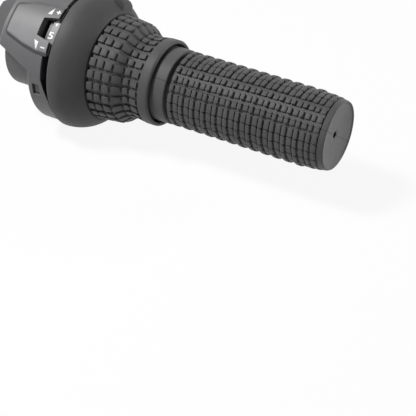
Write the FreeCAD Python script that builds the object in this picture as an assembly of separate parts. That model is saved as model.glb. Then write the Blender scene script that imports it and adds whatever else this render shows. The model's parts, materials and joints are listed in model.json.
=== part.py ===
"""Twist grip shifter for a bicycle handlebar, right hand, six speeds, with its stationary half grip.

Millimetres. X runs along the handlebar, away from the middle of the bicycle. Y points forward and Z up.
The origin is on the handlebar's axis, at the inboard face of the clamp collar.
An angle around the bar is 0 towards the rider (-Y), 90 at the top (+Z) and 180 forward (+Y).
"""

import FreeCAD, Part
import math
import os

Vec = FreeCAD.Vector
ORIGIN = Vec(0, 0, 0)
ALONG_BAR = Vec(1, 0, 0)

# Handlebar passage
BAR_R = 11.1
CLAMP_BORE_R = BAR_R + 0.05
LINER_BORE_R = BAR_R + 0.3
WASHER_BORE_R = BAR_R + 0.7
HALF_GRIP_BORE_R = BAR_R - 0.15

# Gears and the detent
GEARS = 6
REST_GEAR = 5
GEAR_STEP = 12.5
WINDOW_ANGLE = 45.8

# Fits and walls that several parts share
RUNNING = 0.06
AXIAL_PLAY = 0.2
WALL = 2.0
OVERCUT = 1.0

# Turning stack around the liner, from the bar outwards: hub, cable, spool, chamber, collar
LINER_R = LINER_BORE_R + 0.7
LINER_FLANGE_R = LINER_R + 2.9
LINER_FLANGE = 0.8
HUB_INNER_R = LINER_R + RUNNING
HUB_SEAT_R = HUB_INNER_R + 1.24
HUB_R = HUB_SEAT_R + 1.0
CABLE_R = 0.6
CABLE_LINE_R = HUB_SEAT_R + 1.3
SPOOL_BOSS_R = HUB_SEAT_R + 2.2
SPOOL_FLANGE_R = CABLE_LINE_R + 2.3
POCKET_LUG_R = SPOOL_FLANGE_R + 0.9
SPOOL_CHAMBER_R = SPOOL_FLANGE_R + 1.2
COLLAR_R = SPOOL_CHAMBER_R + WALL

# Main housing: collar and drum
COLLAR_EDGE_ROUND = 1.2
CLAMP_LENGTH = 12.0
WEB = 3.5
WEB_OUTBOARD_X = CLAMP_LENGTH + WEB
DRUM_SETBACK = 5.1
DRUM_X = WEB_OUTBOARD_X + DRUM_SETBACK
DRUM_DEPTH = 10.3
DRUM_R = 31.0
DRUM_INNER_R = DRUM_R - WALL
DRUM_EDGE_ROUND = 1.5
DRUM_RIM_X = DRUM_X + DRUM_DEPTH
RIM_REBATE_R = DRUM_R - 1.1

# Hood over the drum: straight sides that spread outboard, and a shoulder that falls inboard from its nose
HOOD_ANGLE = 50.0
HOOD_END_X = -6.0
HOOD_NOSE_X = 4.6
HOOD_NOSE_HALF = 12.7
HOOD_ROOT_HALF = 20.8
HOOD_ROOT_X = DRUM_X + 3.5
HOOD_SPREAD = (HOOD_ROOT_HALF - HOOD_NOSE_HALF) / (HOOD_ROOT_X - HOOD_NOSE_X)
HOOD_SHOULDER_FALL = 0.55
HOOD_WALL = 1.9
HOOD_EDGE_ROUND = 1.1
HOOD_RIB_HALF = 0.7

# Scoops in the drum's rim beside the panel
LOWER_SCOOP_X = DRUM_RIM_X - 2.8
UPPER_SCOOP_X = DRUM_RIM_X - 1.5
SCOOP_FLAT_HALF = 21.5
SCOOP_END_HALF = 27.6

# Coring of the clamp collar
CORE_POCKET_R0 = CLAMP_BORE_R + 2.65
CORE_POCKET_R1 = COLLAR_R - WALL
CORE_POCKET_DEPTH = 10.4
CORE_PITCH = 30.0
CORE_SECTOR = 23.0

# Clamp ears and fasteners
CLAMP_ANGLE = 235.0
CLAMP_SLIT = 2.0
CLAMP_RELIEF = 1.2
CLAMP_RELIEF_SECTOR = 84.0
EAR_HALF = 7.6
EAR_X0 = 0.4
EAR_X1 = 10.8
EAR_HEIGHT = 8.4
EAR_R1 = COLLAR_R + EAR_HEIGHT
EAR_ROUND = 1.4
BOLT_X = 5.6
BOLT_RADIUS_FROM_BAR = COLLAR_R + 2.4
BOLT_R = 2.5
BOLT_HOLE_R = BOLT_R + 0.15
BOLT_HEAD_R = BOLT_R + 1.75
BOLT_HEAD_H = 5.0
BOLT_HEAD_CHAMFER = 0.4
BOLT_SEAT = EAR_HALF - 2.4
BOLT_SEAT_R = BOLT_HEAD_R + 0.3
BOLT_WASHER = 0.8
BOLT_TAIL = 1.2
HEX_ACROSS_FLATS = 4.0
HEX_DEPTH = 2.6
NUT_SIDE = 8.0
NUT_THICK = 3.2
NUT_CLEARANCE = 0.1

# Indicator cover: the raised label panel and its window
PANEL_RISE = 1.4
PANEL_NOSE_X = 6.2
PANEL_NOSE_HALF = 7.6
PANEL_MIDDLE_X = 16.7
PANEL_MIDDLE_HALF = 10.8
PANEL_WIDE_X = 24.4
PANEL_WIDE_HALF = 12.2
PANEL_END_X = DRUM_RIM_X - 0.5
PANEL_CORNER_ROUND = 2.6
PANEL_BEND_ROUND = 9.0
PANEL_SLOPE_RISE = 1.12
PANEL_SLOPE = 1.9
WINDOW_MIDDLE_ANGLE = HOOD_ANGLE - 0.8
WINDOW_HALF = 4.2
WINDOW_FLARE = 0.22
WINDOW_TOP_X = 23.3
WINDOW_FLOOR_X = 24.0
LEG_X = 13.0
LEG_HALF_SPACING = 4.5
LEG_LENGTH_X = 3.0
LEG_THICK = 1.2
LEG_HOOK = 0.6
LEG_CLEARANCE = 0.08
LEG_REACH = HOOD_WALL + LEG_HOOK + 1.0

# Cable spool, detent ring and retaining ring
SPOOL_X0 = WEB_OUTBOARD_X + LINER_FLANGE + AXIAL_PLAY
SPOOL_GROOVE_X = SPOOL_X0 + 2.5
GROOVE_HALF = 0.75
SPOOL_BOSS_X = SPOOL_X0 + 6.0
SPOOL_LENGTH = 8.8
SPOOL_X1 = SPOOL_X0 + SPOOL_LENGTH
POCKET_LUG_SECTOR = 34.0
CABLE_END_R = 2.1
CABLE_END_LENGTH = 4.6
POCKET_LINE_R = CABLE_LINE_R + 1.5
POCKET_ANGLE = -102.5
CABLE_EXIT_REACH = 8.0
DOGS = 3
DOG_LENGTH = 1.6
DOG_SECTOR = 24.0
DOG_CLEARANCE = 0.1
DOG_SLOT_SECTOR = 25.0
DETENT_X0 = SPOOL_X1 - 2.5
LEAF_FLOOR_R = DRUM_R - 6.1
DETENT_NOTCH_R = 1.3
DETENT_NOTCH_LINE_R = LEAF_FLOOR_R - 1.0
DETENT_R = DETENT_NOTCH_LINE_R - 0.4
DETENT_ANGLE = 200.0
RETAINER_X0 = SPOOL_X1 + 0.3
RETAINER_X1 = RETAINER_X0 + 1.3
RETAINER_INNER_R = SPOOL_BOSS_R + 3.4
RETAINER_PLAY = 0.1
TAB_ANGLE = -4.5
TAB_X0 = RETAINER_X0 - 1.1
TAB_SECTOR = 8.0
TAB_R = DRUM_R - 0.7
TAB_COUNT = 3
SLOT_SECTOR = 10.2
SLOT_X0 = DETENT_X0 + 0.7
SLOT_X1 = RETAINER_X1 + 0.4

# Detent leaf spring, in its own plane: along the strip and out from the bar
LEAF_THICK = 0.5
LEAF_HALF = 11.6
LEAF_X0 = DETENT_X0 + 0.1
LEAF_X1 = SPOOL_X1 - 0.2
LEAF_BEND_HALF = 3.2
LEAF_NOSE_R = 1.1
LEAF_PRELOAD_GAP = 0.12
POST_INNER_HALF = 9.6
POST_OUTER_HALF = 12.2
POST_R0 = LEAF_FLOOR_R - 0.9
POST_R1 = LEAF_FLOOR_R + 1.5
LEAF_CLEARANCE = 0.05

# Cable boss, guide, insert and barrel adjuster
BOSS_R = 6.0
BOSS_X0 = -2.0
BOSS_ANGLE = 120.0
CABLE_BEND_R = 7.0
CABLE_RUN = 6.0
BOSS_SHIFT = CABLE_RUN + CABLE_BEND_R
BOSS_LINE_R = math.hypot(BOSS_SHIFT, CABLE_LINE_R)
LEAVE_ANGLE = BOSS_ANGLE - math.degrees(math.atan2(BOSS_SHIFT, CABLE_LINE_R))
GUIDE_R = 1.9
GUIDE_FIRST = 3.0
GUIDE_BORE_R = CABLE_R + 0.3
INSERT_R = 4.0
INSERT_X1 = 7.0
THREAD_R = 2.9
STEM_SHORT = 0.6
ADJUSTER_RUNNING = 0.05
SPRING_SEAT_X = 1.6
SPRING_WIRE_R = 0.4
SPRING_R = 3.9
SPRING_POCKET_R = SPRING_R + SPRING_WIRE_R + 0.25
SPRING_END_GAP = 0.01
SPRING_TURNS = 3
BARREL_LENGTH = 13.0
BARREL_X1 = BOSS_X0 - 1.0
BARREL_X0 = BARREL_X1 - BARREL_LENGTH
BARREL_R = 5.2
BARREL_FLUTE_DEPTH = 0.5
BARREL_FLUTES = 14
BARREL_NECK_R = BARREL_R - 0.8
BARREL_NECK = 1.8
HOUSING_SOCKET_R = 2.55
HOUSING_SOCKET_DEPTH = 10.0
BARREL_EDGE = 0.6

# Cable port plug, at the bottom
PORT_ANGLE = -90.0
PORT_X = DRUM_X - 2.8
PORT_R = 2.2
PLUG_STEM_R = PORT_R - 0.05
PLUG_HEAD_R = PORT_R + 0.45
PLUG_HEAD = 0.9
PLUG_HEAD_ROUND = 0.4
PLUG_GAP = 0.1

# Number ring
BAND_X0 = DRUM_RIM_X - 3.7
BAND_X1 = DRUM_RIM_X + 1.3
BAND_R = DRUM_R - 1.6
BAND_THICK = 1.5
BAND_STEP = 0.9
BAND_START = 28.0
BAND_END = 103.0
RING_SEAT_R = BAND_R - 1.8
RING_THICK = 1.5
RING_INNER_R = RING_SEAT_R - RING_THICK
RING_X1 = DRUM_RIM_X + 5.1

# Twist grip: bell, waist and end ring
GRIP_LIP_X = DRUM_RIM_X + 1.0
GRIP_LIP_R0 = BAND_R + 0.2
BELL_R = DRUM_R + 1.2
MOUTH_ROUND = 1.2
BELL_ROUND_X = GRIP_LIP_X + 1.3
BELL_MIDDLE_X = 41.6
BELL_MIDDLE_R = BELL_R - 2.25
BELL_END_X = 47.6
BELL_END_R = BELL_R - 7.25
RUBBER = 2.4
CORE_LIP = 0.7
CORE_WALL = 1.9
CORE_RIBS = 9
CORE_RIB = 1.3
CAVITY_END_X = 60.0
CAVITY_END_R = HUB_R + 2.6
BLOCK_HEIGHT = 1.0
END_RING_R = HUB_R + 5.4
WAIST = [(48.1, BELL_END_R - 0.55), (59.3, BELL_END_R - 1.75), (63.6, END_RING_R - 0.1),
         (67.0, END_RING_R - 0.8), (70.9, END_RING_R - 0.2)]
WAIST_COLUMNS = [(48.15, 51.0), (51.7, 54.7), (55.6, 58.9), (59.9, 63.2), (63.9, 66.4), (67.3, 70.8)]
WAIST_ROWS = 27
WAIST_ROW_ANGLE = 48.0
WAIST_BLOCK_SHARE = 0.65
END_RING_X = 71.9
END_RING_ROUND = 0.9
END_RING_EDGE = 0.3
GRIP_END_X = 76.85
RECESS_R = END_RING_R - 1.8
HUB_END_X = 72.5
HUB_END_R = HUB_R + 1.2
HUB_TAPER_X = 66.0

# Liner's end and the thrust washer
LINER_X1 = HUB_END_X + 0.3
WASHER_R = RECESS_R - 1.6
WASHER = 0.8

# Half grip
HALF_X0 = LINER_X1 + WASHER
HALF_FLOOR_R = BAR_R + 4.4
HALF_COLLAR_R = HALF_FLOOR_R + 1.5
HALF_COLLAR_X1 = 83.4
HALF_EDGE = 0.8
HALF_TEXTURE_X0 = 85.2
HALF_TEXTURE_X1 = 157.3
HALF_END_X = 160.2
HALF_BAND_R = HALF_FLOOR_R + 0.2
HALF_RIM_R = HALF_FLOOR_R - 0.5
HALF_BAND_FALL = 0.3
HALF_ROWS = 24
HALF_PAIRS = 13
HALF_ROW_ANGLE = 50.0
HALF_BLOCK_SHARE = 0.68
HIGH_BLOCK = 1.45
LOW_BLOCK = 0.85
HIGH_SHARE = 0.335
GROOVE_SHARE = 0.12
DISH_DEPTH = 1.9
VENT_R = 1.35
END_WALL = 5.0


def radial(angle, radius, x=0.0):
    """The point at an angle and a radius around the bar."""
    turn = math.radians(angle)
    return Vec(x, -radius * math.cos(turn), radius * math.sin(turn))


def turned(shape, angle):
    """A shape drawn with its outward direction up (+Z), turned to stand at an angle around the bar."""
    copy = shape.copy()
    copy.rotate(ORIGIN, ALONG_BAR, 90.0 - angle)
    return copy


def rod(x0, x1, radius):
    """A solid cylinder on the bar's axis."""
    return Part.makeCylinder(radius, x1 - x0, Vec(x0, 0, 0), ALONG_BAR)


def tube(x0, x1, inner, outer):
    """A plain tube on the bar's axis."""
    return rod(x0, x1, outer).cut(rod(x0, x1, inner))


def polygon_face(points):
    """A flat face from its corner points."""
    return Part.Face(Part.makePolygon(points + [points[0]]))


def revolved(profile, sweep=360.0, start=90.0):
    """A profile of (x, radius) corners, revolved around the bar, from an angle towards larger angles."""
    face = polygon_face([Vec(x, 0, r) for x, r in profile])
    solid = face.revolve(ORIGIN, ALONG_BAR, sweep)
    return turned(solid, start + sweep)


def sector(x0, x1, inner, outer, middle, width):
    """A piece of tube, width degrees wide, centred at an angle."""
    profile = [(x0, inner), (x1, inner), (x1, outer), (x0, outer)]
    return revolved(profile, width, middle - width / 2)


def block(x0, x1, y0, y1, z0, z1):
    """A box by its limits."""
    return Part.makeBox(x1 - x0, y1 - y0, z1 - z0, Vec(x0, y0, z0))


def cross_rod(radius, x, y0, y1, z):
    """A cylinder along Y, across the outward direction."""
    return Part.makeCylinder(radius, y1 - y0, Vec(x, y0, z), Vec(0, 1, 0))


def fused(shapes):
    """All shapes as one solid."""
    first = shapes[0]
    return first.fuse(shapes[1:]).removeSplitter()


def rounded_plan(points, rounds, z0, height):
    """A prism standing on Z over a plan of (x, y) corners, each corner with its own round, or 0."""
    count = len(points)
    entries = []
    for i, (x, y) in enumerate(points):
        corner = Vec(x, y, z0)
        back = Vec(points[i - 1][0], points[i - 1][1], z0) - corner
        ahead = Vec(points[(i + 1) % count][0], points[(i + 1) % count][1], z0) - corner
        back.normalize()
        ahead.normalize()
        half = back.getAngle(ahead) / 2
        if rounds[i] > 0:
            reach = rounds[i] / math.tan(half)
            inward = (back + ahead).normalize()
            centre = corner + inward * (rounds[i] / math.sin(half))
            middle = centre - inward * rounds[i]
            entries.append((corner + back * reach, middle, corner + ahead * reach))
        else:
            entries.append((corner, None, corner))
    edges = []
    for i, (enter, middle, leave) in enumerate(entries):
        if middle is not None:
            edges.append(Part.Arc(enter, middle, leave).toShape())
        following = entries[(i + 1) % count][0]
        if leave.distanceToPoint(following) > 1e-6:
            edges.append(Part.LineSegment(leave, following).toShape())
    return Part.Face(Part.Wire(edges)).extrude(Vec(0, 0, height))


def hood_plan(inset, end_x, root_x):
    """The hood's wedge between two places along the bar, straight-sided, drawn with its middle up."""
    end = HOOD_NOSE_HALF + (end_x - HOOD_NOSE_X) * HOOD_SPREAD - inset
    root = HOOD_NOSE_HALF + (root_x - HOOD_NOSE_X) * HOOD_SPREAD - inset
    face = polygon_face([Vec(end_x, -end, 0), Vec(root_x, -root, 0), Vec(root_x, root, 0), Vec(end_x, end, 0)])
    return turned(face.extrude(Vec(0, 0, DRUM_R + OVERCUT)), HOOD_ANGLE)


def shoulder_radius(x):
    """The hood's radius at a place along the bar: its crown, and the shoulder that falls inboard."""
    return DRUM_R - max(0, HOOD_NOSE_X - x) * HOOD_SHOULDER_FALL


def hood_pocket():
    """The space that cores the hood, open inboard, with the wall left under its crown and shoulder."""
    open_x = HOOD_END_X - OVERCUT
    ceiling = DRUM_R - HOOD_WALL
    slant = HOOD_WALL * math.hypot(1, HOOD_SHOULDER_FALL)
    bend_x = HOOD_NOSE_X + (slant - HOOD_WALL) / HOOD_SHOULDER_FALL
    profile = [(open_x, 0), (open_x, shoulder_radius(open_x) - slant), (bend_x, ceiling), (DRUM_X, ceiling),
               (DRUM_X, COLLAR_R), (0, COLLAR_R), (0, 0)]
    pocket = hood_plan(HOOD_WALL, open_x, DRUM_X - HOOD_WALL).common(revolved(profile))
    rib = block(open_x, DRUM_X, -HOOD_RIB_HALF, HOOD_RIB_HALF, 0, DRUM_R)
    return pocket.cut(turned(rib, HOOD_ANGLE))


def window_cut():
    """The notch for the numbers, flared and open outboard, with a sloping inboard wall."""
    crown = DRUM_R + PANEL_RISE
    top = crown + OVERCUT
    low = DRUM_INNER_R - WALL
    slope = (WINDOW_FLOOR_X - WINDOW_TOP_X) / (crown - DRUM_INNER_R)
    wide = WINDOW_HALF + (GRIP_LIP_X - WINDOW_TOP_X) * WINDOW_FLARE
    section = [
        Vec(WINDOW_TOP_X - slope * OVERCUT, -wide, top),
        Vec(WINDOW_FLOOR_X, -wide, DRUM_INNER_R),
        Vec(WINDOW_FLOOR_X, -wide, low),
        Vec(GRIP_LIP_X, -wide, low),
        Vec(GRIP_LIP_X, -wide, top),
    ]
    start_x = WINDOW_TOP_X - OVERCUT
    start = WINDOW_HALF - OVERCUT * WINDOW_FLARE
    plan = polygon_face([Vec(start_x, -start, 0), Vec(GRIP_LIP_X, -wide, 0), Vec(GRIP_LIP_X, wide, 0),
                         Vec(start_x, start, 0)])
    notch = polygon_face(section).extrude(Vec(0, 2 * wide, 0)).common(plan.extrude(Vec(0, 0, top)))
    return turned(notch, WINDOW_MIDDLE_ANGLE)


def panel_leg(side, clearance):
    """A snap leg of the indicator cover, or with a clearance, its slot in the hood."""
    y = side * LEG_HALF_SPACING
    half_x = LEG_LENGTH_X / 2 + clearance
    half_y = LEG_THICK / 2 + clearance
    z0 = DRUM_R - LEG_REACH
    z1 = DRUM_R + PANEL_RISE / 3
    return block(LEG_X - half_x, LEG_X + half_x, y - half_y, y + half_y, z0, z1)


def boss_rod(x0, x1, radius):
    """A cylinder on the cable boss's axis, parallel to the bar."""
    return Part.makeCylinder(radius, x1 - x0, radial(BOSS_ANGLE, BOSS_LINE_R, x0), ALONG_BAR)


def guide_solid(radius, first, tail_x):
    """A round bar along the cable's path, from a distance along its straight run to a place along the boss."""
    start = Vec(SPOOL_GROOVE_X, 0, CABLE_LINE_R)
    bend = start + Vec(0, CABLE_RUN, 0)
    run = Part.makeCylinder(radius, CABLE_RUN - first, start + Vec(0, first, 0), Vec(0, 1, 0))
    circle = Part.Face(Part.Wire(Part.makeCircle(radius, bend, Vec(0, 1, 0))))
    turn = circle.revolve(bend + Vec(-CABLE_BEND_R, 0, 0), Vec(0, 0, 1), 90)
    end = bend + Vec(-CABLE_BEND_R, CABLE_BEND_R, 0)
    tail = Part.makeCylinder(radius, end.x - tail_x, Vec(tail_x, end.y, end.z), ALONG_BAR)
    return turned(fused([run, turn, tail]), LEAVE_ANGLE)


def scoop(side, floor_x):
    """Stock cut from the drum's rim beside the panel, running out along the rim."""
    inner = side * (PANEL_WIDE_HALF - OVERCUT)
    flat = side * SCOOP_FLAT_HALF
    end = side * SCOOP_END_HALF
    edge = DRUM_RIM_X
    points = [Vec(floor_x, inner, 0), Vec(floor_x, flat, 0), Vec(edge, end, 0), Vec(edge, inner, 0)]
    cutter = polygon_face(points).extrude(Vec(0, 0, DRUM_R + OVERCUT))
    return turned(cutter, HOOD_ANGLE)


def core_pockets():
    """Pockets that core the clamp collar from its inboard face, clear of the boss and the clamp ears."""
    pockets = []
    for i in range(int(360 / CORE_PITCH)):
        angle = i * CORE_PITCH
        from_boss = abs((angle - BOSS_ANGLE + 180) % 360 - 180)
        from_clamp = abs((angle - CLAMP_ANGLE + 180) % 360 - 180)
        if from_boss > CORE_PITCH and from_clamp > CORE_PITCH:
            pocket = sector(-OVERCUT, CORE_POCKET_DEPTH, CORE_POCKET_R0, CORE_POCKET_R1, angle, CORE_SECTOR)
            pockets.append(pocket)
    return pockets


def clamp_ears():
    """Both clamp ears as one lug, before it is split."""
    lug = block(EAR_X0, EAR_X1, -EAR_HALF, EAR_HALF, CORE_POCKET_R0, EAR_R1)
    corners = [e for e in lug.Edges if min(v.Z for v in e.Vertexes) > EAR_R1 - 0.01]
    return turned(lug.makeFillet(EAR_ROUND, corners), CLAMP_ANGLE)


def main_housing():
    """Clamp collar, drum shell, hood and cable boss, moulded in one."""
    collar = rod(0, DRUM_X + WALL / 2, COLLAR_R)
    collar = collar.makeFillet(COLLAR_EDGE_ROUND, [e for e in collar.Edges if e.BoundBox.XMax < 0.01])
    drum = rod(DRUM_X, DRUM_RIM_X, DRUM_R)
    drum = drum.makeFillet(DRUM_EDGE_ROUND, [e for e in drum.Edges if e.BoundBox.XMax < DRUM_X + 0.01])
    outline = [(HOOD_END_X, CORE_POCKET_R1), (HOOD_END_X, shoulder_radius(HOOD_END_X)), (HOOD_NOSE_X, DRUM_R),
               (DRUM_RIM_X, DRUM_R), (DRUM_RIM_X, CORE_POCKET_R1)]
    hood = hood_plan(0, HOOD_END_X, HOOD_ROOT_X).common(revolved(outline))
    hood = hood.makeFillet(HOOD_EDGE_ROUND, [e for e in hood.Edges if on_hood_edge(e)])
    boss = boss_rod(BOSS_X0, DRUM_X + WALL / 2, BOSS_R)
    body = fused([collar, drum, hood, boss, clamp_ears()])

    cuts = [rod(-OVERCUT, CLAMP_LENGTH, CLAMP_BORE_R)]
    cuts.append(rod(CLAMP_LENGTH, WEB_OUTBOARD_X + OVERCUT, LINER_R))
    cuts.append(rod(WEB_OUTBOARD_X, DRUM_X + WALL + OVERCUT, SPOOL_CHAMBER_R))
    cuts.append(rod(DRUM_X + WALL, DRUM_RIM_X + OVERCUT, DRUM_INNER_R))
    cuts.append(rod(RETAINER_X1 + RETAINER_PLAY, DRUM_RIM_X + OVERCUT, RIM_REBATE_R))
    cuts += core_pockets()
    cuts.append(hood_pocket())
    cuts.append(window_cut())
    for side in (-1, 1):
        cuts.append(turned(panel_leg(side, LEG_CLEARANCE), HOOD_ANGLE))
    cuts.append(scoop(-1, LOWER_SCOOP_X))
    cuts.append(scoop(1, UPPER_SCOOP_X))

    relief_x = CLAMP_LENGTH - CLAMP_RELIEF
    slit = block(-OVERCUT, relief_x + OVERCUT / 2, -CLAMP_SLIT / 2, CLAMP_SLIT / 2, 0, EAR_R1 + OVERCUT)
    cuts.append(turned(slit, CLAMP_ANGLE))
    relief = tube(relief_x, CLAMP_LENGTH, CLAMP_BORE_R - OVERCUT, EAR_R1 + OVERCUT)
    cuts.append(relief.common(sector(0, CLAMP_LENGTH, 0, 2 * EAR_R1, CLAMP_ANGLE, CLAMP_RELIEF_SECTOR)))
    bolt_hole = cross_rod(BOLT_HOLE_R, BOLT_X, -EAR_HALF - OVERCUT, EAR_HALF + OVERCUT, BOLT_RADIUS_FROM_BAR)
    seat = cross_rod(BOLT_SEAT_R, BOLT_X, BOLT_SEAT, EAR_HALF + BOLT_HEAD_H, BOLT_RADIUS_FROM_BAR)
    side = NUT_SIDE / 2 + NUT_CLEARANCE
    nut_pocket = block(BOLT_X - side, BOLT_X + side, -EAR_HALF - NUT_THICK, -EAR_HALF + NUT_THICK,
                       BOLT_RADIUS_FROM_BAR - side, BOLT_RADIUS_FROM_BAR + side)
    cuts += [turned(s, CLAMP_ANGLE) for s in (bolt_hole, seat, nut_pocket)]

    cuts.append(boss_rod(BOSS_X0 - OVERCUT, INSERT_X1, INSERT_R))
    cuts.append(boss_rod(BOSS_X0 - OVERCUT, SPRING_SEAT_X, SPRING_POCKET_R))
    cuts.append(guide_solid(GUIDE_R, 0, INSERT_X1 - OVERCUT))
    port_foot = Vec(PORT_X, 0, CABLE_LINE_R)
    port = Part.makeCylinder(PORT_R, COLLAR_R + OVERCUT - CABLE_LINE_R, port_foot, Vec(0, 0, 1))
    cuts.append(turned(port, PORT_ANGLE))
    for i in range(TAB_COUNT):
        angle = TAB_ANGLE + i * 360 / TAB_COUNT
        slot = sector(SLOT_X0, SLOT_X1, DRUM_INNER_R - OVERCUT, DRUM_R + OVERCUT, angle, SLOT_SECTOR)
        cuts.append(slot)
    for cutter in cuts:
        body = body.cut(cutter)

    posts = []
    for side in (-1, 1):
        y = sorted((side * POST_INNER_HALF, side * POST_OUTER_HALF))
        post = block(DRUM_X + WALL / 2, LEAF_X1, y[0], y[1], POST_R0, POST_R1)
        groove = leaf_outline(LEAF_CLEARANCE, LEAF_CLEARANCE)
        posts.append(turned(post.cut(groove), DETENT_ANGLE))
    return fused([body] + posts)


def three_points(edge):
    """An edge's ends and its middle."""
    span = edge.LastParameter - edge.FirstParameter
    return [edge.valueAt(edge.FirstParameter + span * share) for share in (0, 0.5, 1)]


def on_hood_edge(edge):
    """True for the hood's outer edges: its two sides, along shoulder and crown, and its nose between them."""
    box = edge.BoundBox
    on_top = all(abs(math.hypot(p.y, p.z) - shoulder_radius(p.x)) < 0.01 for p in three_points(edge))
    return on_top and box.XMin < DRUM_X and box.XMax > HOOD_END_X + 0.01


def leaf_outline(grow, sideways):
    """The leaf spring as a strip with a rounded nose, drawn with its middle up."""
    low = LEAF_FLOOR_R - grow
    high = LEAF_FLOOR_R + LEAF_THICK + grow
    tip = DETENT_NOTCH_LINE_R - DETENT_NOTCH_R + LEAF_PRELOAD_GAP - grow
    centre = tip + LEAF_NOSE_R + grow
    inner = LEAF_NOSE_R + grow
    outer = LEAF_NOSE_R - LEAF_THICK - grow
    half = LEAF_HALF + sideways

    def at(y, z):
        return Vec(LEAF_X0 - sideways, y, z)

    edges = [
        Part.LineSegment(at(-half, low), at(-LEAF_BEND_HALF, low)),
        Part.LineSegment(at(-LEAF_BEND_HALF, low), at(-inner, centre)),
        Part.Arc(at(-inner, centre), at(0, centre - inner), at(inner, centre)),
        Part.LineSegment(at(inner, centre), at(LEAF_BEND_HALF, low)),
        Part.LineSegment(at(LEAF_BEND_HALF, low), at(half, low)),
        Part.LineSegment(at(half, low), at(half, high)),
        Part.LineSegment(at(half, high), at(LEAF_BEND_HALF, high)),
        Part.LineSegment(at(LEAF_BEND_HALF, high), at(outer, centre)),
        Part.Arc(at(outer, centre), at(0, centre - outer), at(-outer, centre)),
        Part.LineSegment(at(-outer, centre), at(-LEAF_BEND_HALF, high)),
        Part.LineSegment(at(-LEAF_BEND_HALF, high), at(-half, high)),
        Part.LineSegment(at(-half, high), at(-half, low)),
    ]
    face = Part.Face(Part.Wire([e.toShape() for e in edges]))
    return face.extrude(Vec(LEAF_X1 - LEAF_X0 + 2 * sideways, 0, 0))


def detent_spring():
    """Leaf spring whose nose rests in a notch of the detent ring."""
    return turned(leaf_outline(0, 0), DETENT_ANGLE)


def panel_plan(inset):
    """The label panel's outline as a prism, drawn with its middle up."""
    half = [(PANEL_NOSE_X + inset, PANEL_NOSE_HALF - inset), (PANEL_MIDDLE_X, PANEL_MIDDLE_HALF - inset),
            (PANEL_WIDE_X, PANEL_WIDE_HALF - inset), (PANEL_END_X, PANEL_WIDE_HALF - inset)]
    points = [(x, -y) for x, y in half] + [(x, y) for x, y in reversed(half)]
    rounds = [PANEL_CORNER_ROUND, PANEL_BEND_ROUND, PANEL_BEND_ROUND, 0, 0, PANEL_BEND_ROUND, PANEL_BEND_ROUND,
              PANEL_CORNER_ROUND]
    return rounded_plan(points, rounds, 0, DRUM_R + PANEL_RISE + OVERCUT)


def indicator_cover():
    """Raised label panel with sloping edges, a window and two snap legs."""
    foot = turned(panel_plan(0), HOOD_ANGLE).common(tube(0, PANEL_END_X, DRUM_R, DRUM_R + PANEL_RISE))
    rim = [e for e in foot.Edges if on_panel_rim(e)]
    plate = foot.makeChamfer(PANEL_SLOPE_RISE, PANEL_SLOPE, rim)
    pieces = [plate]
    for side in (-1, 1):
        leg = panel_leg(side, 0)
        low = DRUM_R - LEG_REACH
        y = side * (LEG_HALF_SPACING + LEG_THICK / 2)
        hook = polygon_face([
            Vec(LEG_X - LEG_LENGTH_X / 2, y, low),
            Vec(LEG_X - LEG_LENGTH_X / 2, y + side * LEG_HOOK, low + LEG_HOOK),
            Vec(LEG_X - LEG_LENGTH_X / 2, y, low + LEG_HOOK),
        ]).extrude(Vec(LEG_LENGTH_X, 0, 0))
        pieces.append(turned(leg.fuse(hook), HOOD_ANGLE))
    return fused(pieces).cut(window_cut())


def on_panel_rim(edge):
    """True for the panel's outer edges, apart from the outboard one."""
    points = three_points(edge)
    at_top = all(abs(math.hypot(p.y, p.z) - DRUM_R - PANEL_RISE) < 0.01 for p in points)
    return at_top and min(p.x for p in points) < PANEL_END_X - 0.01


def liner_tube():
    """Thin sleeve over the bar, with a flange against the housing's web."""
    profile = [(CLAMP_LENGTH, LINER_BORE_R), (LINER_X1, LINER_BORE_R), (LINER_X1, LINER_R),
               (WEB_OUTBOARD_X + LINER_FLANGE, LINER_R), (WEB_OUTBOARD_X + LINER_FLANGE, LINER_FLANGE_R),
               (WEB_OUTBOARD_X, LINER_FLANGE_R), (WEB_OUTBOARD_X, LINER_R), (CLAMP_LENGTH, LINER_R)]
    return revolved(profile)


def clamp_bolt():
    """Socket head bolt across the clamp's slit."""
    near = BOLT_SEAT + BOLT_WASHER
    far = near + BOLT_HEAD_H
    shank = cross_rod(BOLT_R, BOLT_X, -EAR_HALF - BOLT_TAIL, near, BOLT_RADIUS_FROM_BAR)
    head = cross_rod(BOLT_HEAD_R, BOLT_X, near, far, BOLT_RADIUS_FROM_BAR)
    head = head.makeChamfer(BOLT_HEAD_CHAMFER, [e for e in head.Edges if e.BoundBox.YMin > far - 0.01])
    corner = HEX_ACROSS_FLATS / math.sqrt(3)
    hexagon = [Vec(BOLT_X + corner * math.cos(math.radians(60 * i)), far - HEX_DEPTH,
                   BOLT_RADIUS_FROM_BAR + corner * math.sin(math.radians(60 * i))) for i in range(6)]
    socket = polygon_face(hexagon).extrude(Vec(0, HEX_DEPTH + OVERCUT, 0))
    return turned(fused([shank, head]).cut(socket), CLAMP_ANGLE)


def bolt_washer():
    """Plain washer under the bolt's head."""
    disc = cross_rod(BOLT_HEAD_R, BOLT_X, BOLT_SEAT, BOLT_SEAT + BOLT_WASHER, BOLT_RADIUS_FROM_BAR)
    hole = cross_rod(BOLT_HOLE_R, BOLT_X, 0, BOLT_SEAT + OVERCUT, BOLT_RADIUS_FROM_BAR)
    return turned(disc.cut(hole), CLAMP_ANGLE)


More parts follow.
